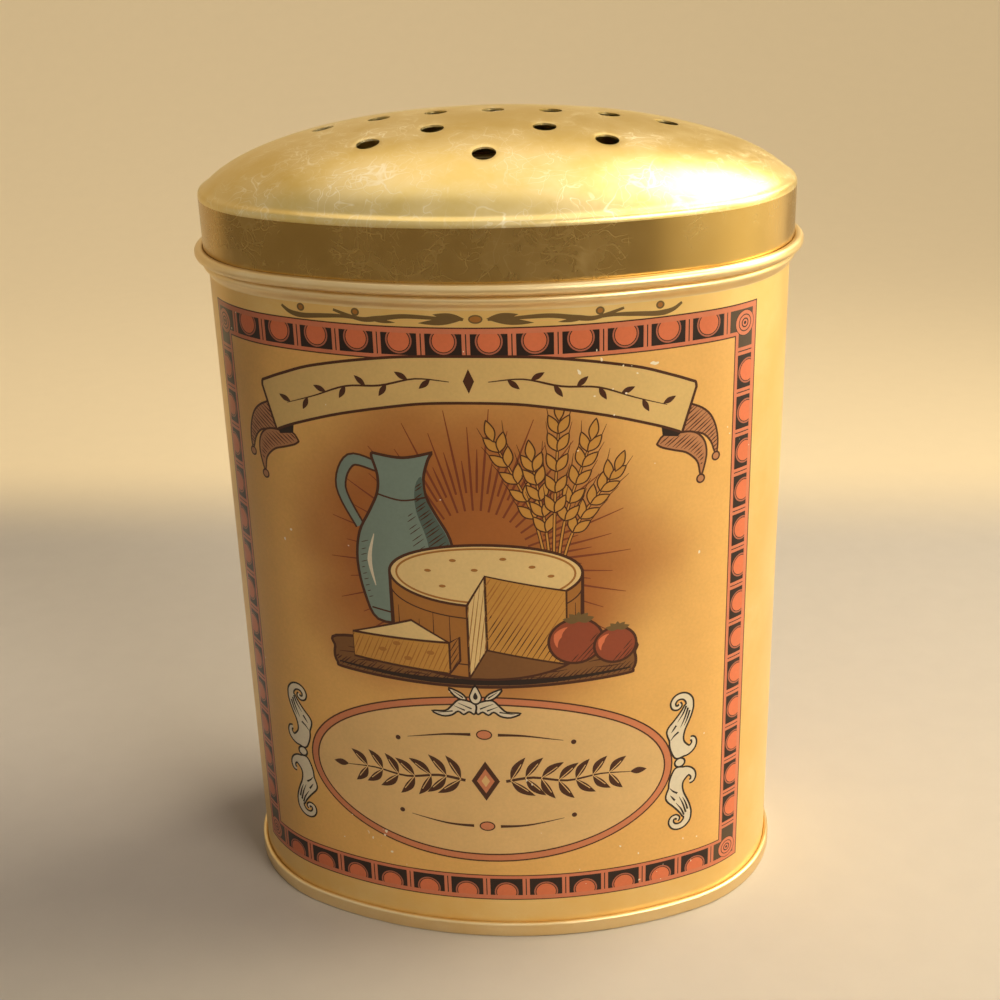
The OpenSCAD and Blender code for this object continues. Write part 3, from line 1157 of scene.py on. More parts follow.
        for flip in (1.0, -1.0):
            for ink, grow in ((Ink.BLACK, edge), (Ink.SCROLL, 0.0)):
                for outline in self.four_ways(leaf, turn_z, flip):
                    if grow:
                        self.line(ink, outline, grow, closed=True)
                    else:
                        self.fill(ink, outline)
                for curl, widths in curls:
                    for path in self.four_ways(smooth_path(curl, steps=4), turn_z, flip):
                        self.line(ink, path, [w + grow for w in widths])
            for vein in veins:
                for path in self.four_ways(smooth_path(vein, steps=4), turn_z, flip):
                    self.line(Ink.BLACK, path, [0.34, 0.26, 0.06])
        for centre in self.both([(27.6, turn_z)]):
            self.outlined(Ink.SCROLL, ellipse(centre[0], 0.85, 0.76, 18), 0.32, Ink.BLACK)

    def draw_crest(self) -> None:
        """Draw the winged leaf on top of the oval."""
        middle = -2.95
        wing = [(0.0, 40.5), (1.2, 41.1), (2.5, 41.2), (3.5, 40.2), (4.5, 39.3), (6.5, 39.1), (5.0, 38.4),
                (3.6, 38.6), (2.6, 39.3), (1.8, 38.8), (1.0, 39.3), (0.3, 38.9), (0.0, 39.4)]
        upper = [(1.3, 41.3), (2.0, 42.3), (3.85, 43.1), (3.2, 42.0), (2.2, 41.3)]
        for side in (1.0, -1.0):
            for shape in (wing, upper):
                outline = smooth_path(placed(shape, middle, side=side), closed=True, steps=3)
                self.outlined(Ink.SCROLL, outline, 0.3, Ink.BLACK)
            for vein in (((0.6, 39.8), (2.6, 40.7)), ((1.6, 39.5), (3.2, 40.2)),
                         ((3.4, 39.3), (5.6, 38.9)), ((1.8, 41.6), (3.2, 42.6))):
                self.line(Ink.BLACK, placed(vein, middle, side=side), [0.24, 0.06])
        drop = [(0.0, 43.4), (0.55, 42.4), (0.75, 41.7), (0.5, 41.0), (0.0, 40.75),
                (-0.5, 41.0), (-0.75, 41.7), (-0.55, 42.4)]
        for ink, size in ((Ink.BLACK, 1.3), (Ink.SCROLL, 1.0), (Ink.BLACK, 0.45)):
            self.fill(ink, smooth_path([(middle + s * size, 41.8 + (z - 41.8) * size) for s, z in drop],
                                       closed=True, steps=3))

    def draw_still_life(self) -> None:
        """Draw the still life in the middle: rays, jug, ears, wheel, wedge and fruit."""
        self.draw_rays((-2.0, 63.0))
        self.draw_jug(-12.2)
        self.draw_ears((8.5, 56.0))
        self.draw_board()
        self.draw_wheel((-1.0, 61.0))
        self.draw_wedge()
        self.draw_fruit((11.6, 50.4), 3.9)
        self.draw_fruit((17.3, 49.2), 3.1)

    def draw_rays(self, centre: Point) -> None:
        """Draw an engraved sunburst behind the still life.

        Args:
            centre: where the rays come from.
        """
        count = 88
        for k in range(count):
            angle = FULL_TURN * (k + 0.5) / count
            inner = 7.5 + 2.5 * (k % 2)
            outer = (21.5, 16.0, 19.0, 14.5)[k % 4]
            foot, tip = [(centre[0] + r * math.cos(angle), centre[1] + 1.05 * r * math.sin(angle))
                         for r in (inner, outer)]
            middle = (0.5 * (foot[0] + tip[0]), 0.5 * (foot[1] + tip[1]))
            if tip[1] > 46.0:
                self.line(Ink.RAY, [foot, middle, tip], [0.3, 0.34, 0.1])

    def draw_jug(self, axis: float) -> None:
        """Draw the glazed jug.

        Args:
            axis: the jug's middle along the sheet.
        """
        handle = smooth_path(placed([(-3.2, 76.6), (-7.2, 77.2), (-9.0, 73.0), (-6.4, 67.5)], axis))
        self.line(Ink.LINE, handle, [1.7, 2.0, 1.8, 1.6])
        self.line(Ink.GLAZE, handle, [1.1, 1.4, 1.2, 1.0])
        half = [(0.0, 53.0), (4.6, 53.2), (6.4, 57.0), (7.2, 62.0), (6.6, 66.5), (4.8, 70.0), (3.5, 72.8),
                (3.3, 75.4), (4.0, 78.0), (4.7, 79.2)]
        right = smooth_path(placed(half, axis), steps=4)
        left = smooth_path(placed([*half[:-1], (3.9, 78.6)], axis, side=-1.0), steps=4)
        lip = smooth_path([right[-1], (axis + 0.5, 78.2), left[-1]], steps=6)
        self.outlined(Ink.GLAZE, right + lip[1:-1] + left[:0:-1], 0.42)
        shade = [(6.4, 57.0), (7.0, 62.0), (6.4, 66.3), (4.6, 69.8), (3.3, 72.8), (3.0, 75.6), (2.0, 74.0),
                 (2.0, 70.5), (3.4, 66.0), (3.8, 61.0), (3.2, 56.0), (4.5, 53.6)]
        flank = [(3.4, 55.0), (3.6, 61.0), (3.2, 66.0), (1.6, 70.6), (0.6, 69.0), (1.4, 64.0), (1.2, 59.0)]
        edge = [(-5.8, 56.5), (-6.7, 61.0), (-6.3, 66.0), (-5.2, 65.5), (-5.7, 61.0), (-5.0, 57.0)]
        shade, flank, edge = (smooth_path(placed(shape, axis), closed=True, steps=3)
                              for shape in (shade, flank, edge))
        self.fill(Ink.GLAZE_SHADE, shade)
        self.rule(Ink.LINE, shade, 38.0, 0.62, 0.2)
        for z, width in ((72.6, 3.5), (55.0, 5.4)):
            band = smooth_path([(axis - width, z), (axis, z - 0.7), (axis + width, z)], steps=5)
            self.line(Ink.LINE, band, 0.26)
        self.rule(Ink.LINE, flank, 38.0, 0.8, 0.14)
        self.rule(Ink.LINE, edge, 20.0, 0.9, 0.12)
        shine = smooth_path(placed([(-4.6, 58.5), (-5.3, 62.5), (-4.4, 66.5)], axis))
        self.line(Ink.SCROLL, shine, [0.1, 0.7, 0.1])

    def draw_ears(self, foot: Point) -> None:
        """Draw the bunch of ears.

        Args:
            foot: where the stalks leave the bunch.
        """
        for lean, length in ((-0.30, 26.0), (0.42, 21.5), (-0.12, 22.0), (0.22, 25.0), (0.04, 27.5)):
            upward = (math.sin(lean), math.cos(lean))
            top = moved(foot, upward, length)
            bow = (foot[0] + 0.52 * length * math.sin(0.6 * lean), foot[1] + 0.52 * length)
            stalk = smooth_path([foot, bow, top], steps=10)
            self.line(Ink.LINE, stalk, [0.62, 0.5, 0.4])
            self.line(Ink.STRAW, stalk, [0.3, 0.24, 0.12])
            for k in range(5):
                here = stalk[10 + 2 * k]
                way = heading(here, stalk[12 + 2 * k]) if k < 4 else 1.57 - lean
                for swing in (0.5, -0.5):
                    tip = polar(here, 3.0, way + swing)
                    self.outlined(Ink.STRAW, leaf_outline(here, tip, 1.35), 0.2)
                    self.line(Ink.LINE, [tip, polar(tip, 1.6, way + 0.4 * swing)], [0.14, 0.06])
            self.outlined(Ink.STRAW, leaf_outline(top, moved(top, upward, 3.2), 1.3), 0.2)

    def draw_board(self) -> None:
        """Draw the board that the still life stands on, with its shadow."""
        slab = smooth_path([(-21.5, 44.2), (-24.0, 45.0), (-24.2, 47.4), (-22.5, 49.6), (-2.0, 50.6),
                            (18.4, 49.6), (20.2, 47.4), (20.0, 45.0), (17.6, 44.2), (-2.0, 43.4)],
                           closed=True, steps=6)
        self.outlined(Ink.WOOD, slab, 0.45)
        front = smooth_path([(-23.6, 46.4), (-12.0, 45.7), (-2.0, 45.5), (8.0, 45.7), (19.6, 46.4),
                             (19.8, 45.2), (17.4, 44.4), (-2.0, 43.6), (-21.3, 44.4), (-23.7, 45.2)],
                            closed=True, steps=4)
        self.rule(Ink.LINE, front, 42.0, 0.5, 0.22)
        for row in range(5):
            z = 45.0 + 0.95 * row
            for k in range(6):
                start = -22.0 + 7.0 * k + 1.7 * math.sin(2.1 * row + k)
                end = min(start + 4.6 + 1.5 * math.cos(3.0 * row + 2.0 * k), 18.5)
                bow = z + 0.25 * math.sin(k + row)
                grain = smooth_path([(start, z), (0.5 * (start + end), bow), (end, z)], steps=3)
                self.line(Ink.LINE, grain, [0.06, 0.22, 0.06])
        edge = smooth_path([(-23.6, 45.2), (-12.0, 44.4), (-2.0, 44.2), (8.0, 44.4), (19.6, 45.2)])
        self.line(Ink.BLACK, edge, [0.2, 0.9, 0.9, 0.2])

    def draw_wheel(self, top: Point) -> None:
        """Draw the cheese wheel with a piece cut out of it.

        Args:
            top: the middle of its upper face.
        """
        half_s, half_z, tall = 13.6, 4.7, 11.6
        face = ellipse(top, half_s, half_z, 64)
        under = ellipse((top[0], top[1] - tall), half_s, half_z, 64)
        self.outlined(Ink.RIND, [*face[0:33], *under[32:64], under[0]], 0.45)
        for k in range(34, 63, 2):
            s, z = under[k]
            high = z + tall * (0.45 + 0.4 * abs(math.sin(1.9 * k)))
            self.line(Ink.LINE, [(s, z + 0.6), (s, high)], [0.26, 0.08])
        for rise in (2.2, 9.6):
            self.line(Ink.LINE, placed(under[33:64], 0.0, rise), 0.2)
        self.outlined(Ink.PASTE, face, 0.4)
        self.line(Ink.RIND, ellipse(top, half_s - 1.0, half_z - 0.55, 64), 0.3, closed=True)
        first, second = face[46], face[58]
        drop = (top[0], top[1] - tall)
        deep = [under[46], under[58]]
        right_cut = [top, second, deep[1], drop]
        left_cut = [top, drop, deep[0], first]
        self.outlined(Ink.STRAW, right_cut, 0.36)
        self.outlined(Ink.PASTE, left_cut, 0.36)
        self.outlined(Ink.WOOD, [drop, deep[1], *under[57:46:-1], deep[0]], 0.3)
        self.rule(Ink.RIND, right_cut, 58.0, 0.75, 0.2)
        shade = [(top[0] + 0.5, top[1] - 5.5), (second[0], second[1] - 7.6), deep[1], drop]
        self.rule(Ink.LINE, shade, 58.0, 0.75, 0.16)
        self.rule(Ink.RIND, left_cut, 82.0, 0.6, 0.16)
        eyes = [(-8.0, 0.6), (-4.4, 2.3), (-6.0, -1.7), (2.6, 2.6), (6.6, 1.3), (-1.4, 0.9), (9.2, -0.2)]
        for eye in placed(eyes, *top):
            self.fill(Ink.RIND, ellipse(eye, 0.5, 0.24, 12))

    def draw_wedge(self) -> None:
        """Draw the wedge in front of the wheel."""
        tip, back, front = (-21.0, 50.6), (-11.8, 53.6), (-6.4, 50.4)
        drop = 5.0
        side = [tip, (tip[0], tip[1] - drop + 1.0), (front[0], front[1] - drop), front]
        rim = [front, (front[0], front[1] - drop), (back[0] + 6.9, back[1] - drop - 1.0),
               (back[0] + 6.9, back[1] - 2.2)]
        self.outlined(Ink.PASTE, [tip, front, back], 0.38)
        self.outlined(Ink.STRAW, side, 0.38)
        self.outlined(Ink.RIND, rim, 0.34)
        self.rule(Ink.RIND, side, 66.0, 0.7, 0.18)
        self.rule(Ink.LINE, rim, 60.0, 0.55, 0.16)
        for eye in ((-16.4, 48.4), (-12.6, 47.4), (-9.2, 48.6), (-14.2, 49.6)):
            self.fill(Ink.RIND, ellipse(eye, 0.6, 0.34, 12))

    def draw_fruit(self, centre: Point, radius: float) -> None:
        """Draw a round red fruit with its calyx.

        Args:
            centre: its middle.
            radius: its size.
        """
        self.outlined(Ink.FRUIT, ellipse(centre, radius, 0.9 * radius, 32), 0.4)
        self.line(Ink.DISC, arc((centre[0] - 0.1 * radius, centre[1]), 0.62 * radius, 110.0, 200.0, 8),
                  [0.1, 0.3 * radius, 0.1])
        dark = [*arc(centre, 0.88 * radius, -110.0, 25.0, 10),
                *arc((centre[0] - 0.25 * radius, centre[1] + 0.2 * radius), 0.8 * radius, 0.0, -80.0, 8)]
        self.rule(Ink.LINE, dark, 48.0, 0.5, 0.17)
        crown = (centre[0] + 0.1 * radius, centre[1] + 0.78 * radius)
        for k in range(5):
            angle = math.radians(20.0 + 35.0 * k)
            tip = (crown[0] + 0.62 * radius * math.cos(angle), crown[1] + 0.4 * radius * math.sin(angle))
            self.fill(Ink.VINE, leaf_outline(crown, tip, 0.26 * radius))


# The three pieces

@dataclass
class PrintedSleeve:
    """The sleeve: one printed strip with a rolled top, a stop bead and a lock seam inside."""

    oval: Oval
    top: float
    low: float = 0.5
    sheet: float = 0.3
    roll: float = 1.4
    roll_turn: float = 250.0
    roll_steps: int = 16
    bead_z: float = 100.2
    bead_h: float = 2.8
    bead_out: float = 0.8
    bead_steps: int = 18
    neck: Point = (104.0, 106.4)
    print_low: float = 1.6
    print_high: float = 98.8
    seam_half: float = 2.3
    seam_thick: float = 0.6
    seam_step: float = 0.12
    seam_span: Point = (1.2, 99.5)
    station_count: int = 240
    print_step: Point = (1.5, 3.0)
    weld: float = 2e-3
    near: float = 1e-4
    shared: dict[Point, int] = field(default_factory=dict)

    def stations(self) -> list[float]:
        """Spread the rings' points from the lock seam round to it again.

        Returns:
            Their sheet lengths, in order.
        """
        quarter, lap = self.oval.quarter, self.oval.lap
        even = [-quarter + lap * i / self.station_count for i in range(self.station_count)]
        edges = [-quarter + side * (self.seam_half + step) for side in (1, -1)
                 for step in (0.0, self.seam_step)]
        edges = [s if s >= -quarter else s + lap for s in edges]
        kept = [s for s in even if all(abs(s - e) > 1.25 * self.seam_step for e in edges)]
        return sorted([*kept, *edges])

    def outer_face(self) -> list[Point]:
        """Draw the section of the outer face, up from the bottom seam and round the rolled edge.

        Returns:
            The section's points as distance out and height.
        """
        points = [(0.0, self.low), (0.0, self.print_low), (0.0, self.print_high)]
        for i in range(1, self.bead_steps + 1):
            share = -1.0 + 2.0 * i / self.bead_steps
            rise = 0.5 + 0.5 * math.cos(math.pi * share)
            points.append((self.bead_out * rise, self.bead_z + 0.5 * self.bead_h * share))
        radius = 0.5 * self.roll
        points.extend((0.0, z) for z in self.neck)
        points.extend(arc((-radius, self.top - radius), radius, 0.0, self.roll_turn, self.roll_steps))
        return points

    def build(self, finishes: Sequence[bpy.types.Material]) -> bpy.types.Object:
        """Build the sleeve.

        Args:
            finishes: one material for each ink, then the bare inside and the lacquered top.

        Returns:
            The sleeve's object.
        """
        mesh = SheetMesh()
        stations = self.stations()
        face = self.outer_face()
        inside = [(out, min(z, self.top - self.sheet)) for out, z in offset(face, -self.sheet)]
        half = 0.5 * self.oval.lap
        low, high = self.seam_span
        sections = []
        for s in stations:
            off = abs((s + self.oval.quarter + half) % self.oval.lap - half)
            extra = self.seam_thick if off < self.seam_half + 0.5 * self.seam_step else 0.0
            back = [(out - (extra if low < z < high else 0.0), z) for out, z in inside]
            sections.append([*face, *back[::-1], face[0]])
        rings = mesh.sweep(self.oval, stations, sections)
        bare, top = len(Ink), len(Ink) + 1
        for row, (lower, upper) in enumerate(around(rings)):
            if row != 1:
                mesh.add_band(lower, upper, bare if row >= len(face) else top if row else Ink.GOLD.slot)
        self.add_print(mesh, stations, rings[1], rings[2])
        return mesh.write("printed_sleeve", finishes)

    def add_print(self, mesh: SheetMesh, stations: Sequence[float], low: Sequence[int],
                  high: Sequence[int]) -> None:
        """Lay the print on the sleeve, once on the front and once on the back.

        Args:
            mesh: the sleeve's mesh.
            stations: sheet lengths of the rings' points.
            low: the ring under the print.
            high: the ring above it.
        """
        half = 2.0 * self.oval.quarter
        shapes = PanelPrint().draw()
        for start in (-self.oval.quarter, self.oval.quarter):
            numbers = [i for i, s in enumerate(stations) if -self.near <= s - start < half - self.near]
            lengths = [stations[i] - start for i in numbers] + [half]
            numbers.append((numbers[-1] + 1) % len(stations))
            self.lay_panel(mesh, shapes, start, lengths, [low[i] for i in numbers],
                           [high[i] for i in numbers])

    def lay_panel(self, mesh: SheetMesh, shapes: list[Shape], start: float, lengths: Sequence[float],
                  low: Sequence[int], high: Sequence[int]) -> None:
        """Cut one half of the sheet along the edges of its inks.

        Args:
            mesh: the sleeve's mesh.
            shapes: the panel's inked shapes.
            start: sheet length where this half begins.
            lengths: the ring points' distances from there.
            low: point numbers under the print.
            high: point numbers above it.
        """
        half = lengths[-1]
        count = len(lengths)
        corners = [Vector((s, self.print_low)) for s in lengths]
        corners.extend(Vector((s, self.print_high)) for s in lengths[::-1])
        known = [*low, *high[::-1]]
        tall = self.print_high - self.print_low
        rows = round(tall / self.print_step[1])
        columns = round(half / self.print_step[0])
        heights = [self.print_low + tall * row / rows for row in range(1, rows)]
        for row, z in enumerate(heights, 1):
            uneven = 0.25 * self.print_step[0] * (row % 2)
            corners.extend(Vector((half * column / columns + uneven, z)) for column in range(1, columns))
        first = len(corners)
        corners.extend(Vector((half, z)) for z in heights)
        corners.extend(Vector((0.0, z)) for z in heights[::-1])
        right = list(range(first, first + len(heights)))
        left = list(range(first + len(heights), len(corners)))
        faces = [[*range(count), *right, *range(count, 2 * count), *left]]
        slots = [Ink.GOLD.slot]
        for ink, outline in shapes:
            first = len(corners)
            corners.extend(Vector((s + 0.5 * half, z)) for s, z in outline)
            faces.append(list(range(first, len(corners))))
            slots.append(ink.slot)
        places, _, cut, from_points, _, from_faces = delaunay_2d_cdt(corners, [], faces, 1, self.weld)
        numbers: list[int] = []
        for place, origins in zip(places, from_points):
            ring = next((known[i] for i in origins if i < len(known)), None)
            numbers.append(self.side_point(mesh, start, half, place) if ring is None else ring)
        for corners_of, origins in zip(cut, from_faces):
            if origins:
                mesh.add_face([numbers[i] for i in corners_of], slots[max(origins)])

    def side_point(self, mesh: SheetMesh, start: float, half: float, place: Vector) -> int:
        """Number of a point of the print, shared where the two halves meet.

        Args:
            mesh: the sleeve's mesh.
            start: sheet length where this half begins.
            half: length of this half.
            place: the point on this half.

        Returns:
            The point's number.
        """
        at_start, at_end = place.x < self.near, place.x > half - self.near
        s = start + (0.0 if at_start else half if at_end else place.x)
        lap = self.oval.lap
        key = (round((s + self.oval.quarter) % lap, 3) % round(lap, 3), round(place.y, 3))
        shares = at_start or at_end
        if shares and key in self.shared:
            return self.shared[key]
        here, out = self.oval.at(s)
        number = mesh.add_point((*here, place.y), (*out, 0.0))
        if shares:
            self.shared[key] = number
        return number


@dataclass
class SeamedBottom:
    """The pressed bottom: a recessed panel with a groove, and a double seam round the sleeve."""

    oval: Oval
    sheet: float = 0.3
    seam_h: float = 2.4
    seam_out: float = 0.8
    seam_in: float = -0.63
    bend_r: float = 0.36
    panel_z: float = 2.8
    groove_h: float = 0.8
    groove_w: float = 1.8
    groove_in: float = -1.9
    groove_steps: int = 12
    groove_lead: Point = (0.3, 0.2)
    panel_in: float = -4.6
    panel_shares: tuple[float, ...] = (0.75, 0.5, 0.25)
    wall_r: float = 0.6
    bend_steps: int = 5
    seam_gap: float = 0.03
    hook_low: float = 1.0
    station_count: int = 200

    def middle_line(self) -> list[Point]:
        """Draw the middle of the sheet in section, from the panel out and over the seam.

        Returns:
            The section's points as distance out and height.
        """
        half = 0.5 * self.sheet
        bend = self.bend_r - half
        z = self.panel_z + half
        wall = self.seam_in + half
        out = self.seam_out - half
        points = [(self.panel_in, z), (self.groove_in - self.groove_w - self.groove_lead[0], z)]
        for i in range(1, self.groove_steps):
            share = i / self.groove_steps
            points.append((self.groove_in - self.groove_w * (1.0 - share),
                           z + self.groove_h * math.sin(math.pi * share) ** 2))
        points.append((self.groove_in + self.groove_lead[1], z))
        top = self.seam_h - half - bend
        hook = self.seam_gap + half
        for middle, radius, start, end in (
                ((wall - self.wall_r, z - self.wall_r), self.wall_r, 90.0, 0.0),
                ((wall + bend, half + bend), bend, 180.0, 270.0),
                ((out - bend, half + bend), bend, -90.0, 0.0),
                ((out - bend, top), bend, 0.0, 90.0),
                ((hook + bend, top), bend, 90.0, 180.0)):
            points.extend(arc(middle, radius, start, end, self.bend_steps))
        points.append((hook, self.hook_low))
        return points

    def build(self, finishes: Sequence[bpy.types.Material]) -> bpy.types.Object:
        """Build the bottom.

        Args:
            finishes: the one material of all its faces.

        Returns:
            The bottom's object.
        """
        mesh = SheetMesh()
        line = self.middle_line()
        half = 0.5 * self.sheet
        chain = [*offset(line, half), *offset(line, -half)[::-1]]
        rings = mesh.sweep(self.oval, self.oval.stations(self.station_count), [chain] * self.station_count)
        for low, high in zip(rings, rings[1:]):
            mesh.add_band(low, high)
        self.close_panel(mesh, rings[0], self.panel_z, -1.0)
        self.close_panel(mesh, rings[-1], self.panel_z + self.sheet, 1.0)
        return mesh.write("seamed_bottom", finishes)

    def close_panel(self, mesh: SheetMesh, ring: Sequence[int], z: float, facing: float) -> None:
        """Fill the panel inside a ring.

        Args:
            mesh: the bottom's mesh.
            ring: the ring's point numbers.
            z: the panel's height.
            facing: 1 for its upper face, -1 for its lower one.
        """
        previous = list(ring)
        for share in self.panel_shares:
            inner = []
            for number in ring:
                x, y, _ = mesh.points[number]
                inner.append(mesh.add_point((x * share, y * share, z), (0.0, 0.0, facing)))
            pair = (previous, inner) if facing > 0 else (inner, previous)
            mesh.add_band(*pair)
            previous = inner
        middle = mesh.add_point((0.0, 0.0, z), (0.0, 0.0, facing))
        for a, b in around(previous):
            mesh.add_face((a, b, middle) if facing > 0 else (b, a, middle))


@dataclass
class ShakerLid:
    """The lid: a pierced dome, a soft fold, a skirt and an edge rolled outwards."""

    oval: Oval
    low: float
    crown: float
    sheet: float = 0.3
    skirt_out: float = 0.55
    skirt_rises: Point = (1.6, 4.0)
    roll: float = 1.6
    roll_span: Point = (128.0, -180.0)
    roll_steps: int = 24
    fold_z: float = 109.6
    fold_lead: float = 1.5
    fold_pull: float = 0.55
    edge_out: float = -0.75
    edge_z: float = 111.2
    bulge: float = 1.05
    hole_r: float = 1.6
    draw_in: float = 0.09
    draw_reach: float = 1.5
    station_count: int = 264
    fold_steps: int = 12
    wall_steps: int = 4
    hole_rings: tuple[tuple[float, int], ...] = ((1.0, 36), (1.12, 36), (1.28, 36), (1.5, 32), (1.85, 24))
    hole_clear: float = 2.1
    dome_rings: int = 22
    dome_ease: float = 1.35
    dome_density: float = 0.7
    dome_least: int = 8
    weld: float = 1e-6
    holes: tuple[Point, ...] = (
        *((8.1 * k, 0.0) for k in range(-3, 4)),
        *((7.6 * i, 9.7 * k) for i in (1, -1) for k in (1, -1)),
        *((16.0 * i, 12.9 * k) for i in (1, -1) for k in (1, -1)),
        (0.0, 18.3), (0.0, -18.3))

    def height(self, x: float, y: float) -> float:
        """Find the height of the dome's outer face, with the sheet drawn in at the holes.

        Args:
            x: the place across the tin.
            y: the place from front to back.

        Returns:
            The face's height over the place.
        """
        share = min(self.oval.gauge(x, y, self.edge_out), 1.0)
        base = math.sqrt(self.bulge ** 2 - 1.0)
        rise = (math.sqrt(self.bulge ** 2 - share ** 2) - base) / (self.bulge - base)
        z = self.edge_z + (self.crown - self.edge_z) * rise
        for hole in self.holes:
            away = math.hypot(x - hole[0], y - hole[1]) / self.hole_r
            if away < self.draw_reach:
                dip = (self.draw_reach - max(away, 1.0)) / (self.draw_reach - 1.0)
                z -= self.draw_in * dip * dip
        return z

    def normal(self, x: float, y: float) -> Place:
        """Find the dome's outward normal.

        Args:
            x: the place across the tin.
            y: the place from front to back.

        Returns:
            The normal over the place.
        """
        step = 0.02
        inward = 1.0 - step / max(math.hypot(x, y), 1.0)
        x, y = x * inward, y * inward
        slope_x = (self.height(x + step, y) - self.height(x - step, y)) / (2.0 * step)
        slope_y = (self.height(x, y + step) - self.height(x, y - step)) / (2.0 * step)
        size = math.sqrt(1.0 + slope_x ** 2 + slope_y ** 2)
        return (-slope_x / size, -slope_y / size, 1.0 / size)

    def section(self, s: float) -> list[Point]:
        """Both faces of the sheet in section, from the dome's underside round to its top.

        Args:
            s: sheet length where the section is taken.

        Returns:
            The section's points as distance out and height.
        """
        half = 0.5 * self.sheet
        line_r = 0.5 * self.roll - half
        middle = (self.skirt_out - self.sheet + 0.5 * self.roll, self.low + 0.5 * self.roll)
        wall = self.skirt_out - half
        points = arc(middle, line_r, *self.roll_span, self.roll_steps)
        points.extend((wall, middle[1] + rise) for rise in self.skirt_rises)
        points.append((wall, self.fold_z - self.fold_lead))
        place, out = self.oval.at(s, self.edge_out)
        reach = place[0] * out[0] + place[1] * out[1]
        base = math.sqrt(self.bulge ** 2 - 1.0)
        slope = (self.crown - self.edge_z) / ((self.bulge - base) * base) / reach
        lean = math.atan(slope)
        end = (self.edge_out - half * math.sin(lean), self.edge_z - half * math.cos(lean))
        start = (wall, self.fold_z)
        pull = self.fold_pull * math.hypot(end[0] - start[0], end[1] - start[1])
        first = (start[0], start[1] + pull)
        second = (end[0] + pull * math.cos(lean), end[1] - pull * math.sin(lean))
        for i in range(self.fold_steps + 1):
            t = i / self.fold_steps
            weights = ((1 - t) ** 3, 3 * t * (1 - t) ** 2, 3 * t * t * (1 - t), t ** 3)
            points.append(tuple(sum(w * p[k] for w, p in zip(weights, (start, first, second, end)))
                                for k in (0, 1)))
        return [*offset(points, -half)[::-1], *offset(points, half)]

    def build(self, finishes: Sequence[bpy.types.Material]) -> bpy.types.Object:
        """Build the lid.

        Args:
            finishes: the materials of the dome, the skirt and the rolled edge; the skirt's is a darker copy
                of the gold that paints in a dark reflection of the floor in front.

        Returns:
            The lid's object.
        """
        mesh = SheetMesh()
        stations = self.oval.stations(self.station_count)
        rings = mesh.sweep(self.oval, stations, [self.section(s) for s in stations])
        for row, (low, high) in enumerate(zip(rings, rings[1:])):
            depth = min(row, len(rings) - 2 - row)
            # Finish 1, the skirt, is the darker gold copy that paints in a dark reflection.
            finish = 0 if depth < self.fold_steps else 1 if depth < self.fold_steps + self.wall_steps else 2
            mesh.add_band(low, high, finish)
        self.add_dome(mesh, rings[0], rings[-1])
        return mesh.write("shaker_lid_shell", finishes)

    def add_dome(self, mesh: SheetMesh, under: Sequence[int], over: Sequence[int]) -> None:
        """Fill the dome with its holes between two rings.

        Args:
            mesh: the lid's mesh.
            under: the ring on the underside.
            over: the ring on the outer face.
        """
        corners = [Vector(mesh.points[i][:2]) for i in over]
        faces = [list(range(len(over)))]
        for hole in self.holes:
            first = len(corners)
            faces.append(list(range(first, first + self.hole_rings[0][1])))
            for size, count in self.hole_rings:
                for i in range(count):
                    angle = FULL_TURN * (i + 0.5 * (count % 5)) / count
                    corners.append(Vector(polar(hole, size * self.hole_r, angle)))
        clear = self.hole_clear * self.hole_r
        for row in range(1, self.dome_rings + 1):
            share = 1.0 - (row / (self.dome_rings + 0.5)) ** self.dome_ease
            count = max(self.dome_least, round(self.station_count * share * self.dome_density))
            for i in range(count):
                place, _ = self.oval.at(self.oval.lap * (i + 0.5 * (row % 2)) / count, self.edge_out)
                spot = (place[0] * share, place[1] * share)
                if all(math.dist(spot, hole) > clear for hole in self.holes):
                    corners.append(Vector(spot))
        places, _, cut, from_points, _, from_faces = delaunay_2d_cdt(corners, [], faces, 1, self.weld)
        top: list[int] = []
        bottom: list[int] = []
        for place, origins in zip(places, from_points):
            ring = next((i for i in origins if i < len(over)), None)
            if ring is not None:
                top.append(over[ring])
                bottom.append(under[ring])
                continue
            normal = self.normal(place.x, place.y)
            here = (place.x, place.y, self.height(place.x, place.y))
            top.append(mesh.add_point(here, normal))
            below = tuple(here[k] - self.sheet * normal[k] for k in range(3))
            bottom.append(mesh.add_point(below, tuple(-v for v in normal)))
        for corners_of, origins in zip(cut, from_faces):
            if origins and max(origins) == 0:
                mesh.add_face([top[i] for i in corners_of])
                mesh.add_face([bottom[i] for i in reversed(corners_of)])
        by_origin = {origin: number for number, origins in enumerate(from_points) for origin in origins}
        for hole, outline in zip(self.holes, faces[1:]):
            rims = []
            for face in (top, bottom):
                places = [mesh.points[face[by_origin[i]]] for i in outline]
                ways = [(Vector(hole) - Vector(place[:2])).normalized() for place in places]
                rims.append([mesh.add_point(place, (*way, 0.0)) for place, way in zip(places, ways)])
            mesh.add_band(*rims)


# The studio

@dataclass(frozen=True)
class SoftLamp:
    """A soft box, as an area lamp, square unless it has a height of its own."""

    name: str
    place: Place
    aim: Place
    size: float
    watts: float
    colour: str = "FFFFFF"
    spread: float = 180.0
    height: float = 0.0

    def build(self) -> None:
        """Hang the lamp."""
        data = bpy.data.lights.new(self.name, "AREA")
        data.shape = "RECTANGLE" if self.height else "SQUARE"
        data.size = self.size * MM
        data.size_y = (self.height or self.size) * MM
        data.energy = self.watts
        data.spread = math.radians(self.spread)
        data.color = linear(self.colour)[:3]
        lamp = put(self.name, data)
        place = Vector(self.place) * MM
        way = Vector(self.aim) * MM - place
        lamp.matrix_world = Matrix.Translation(place) @ way.to_track_quat("-Z", "Y").to_matrix().to_4x4()


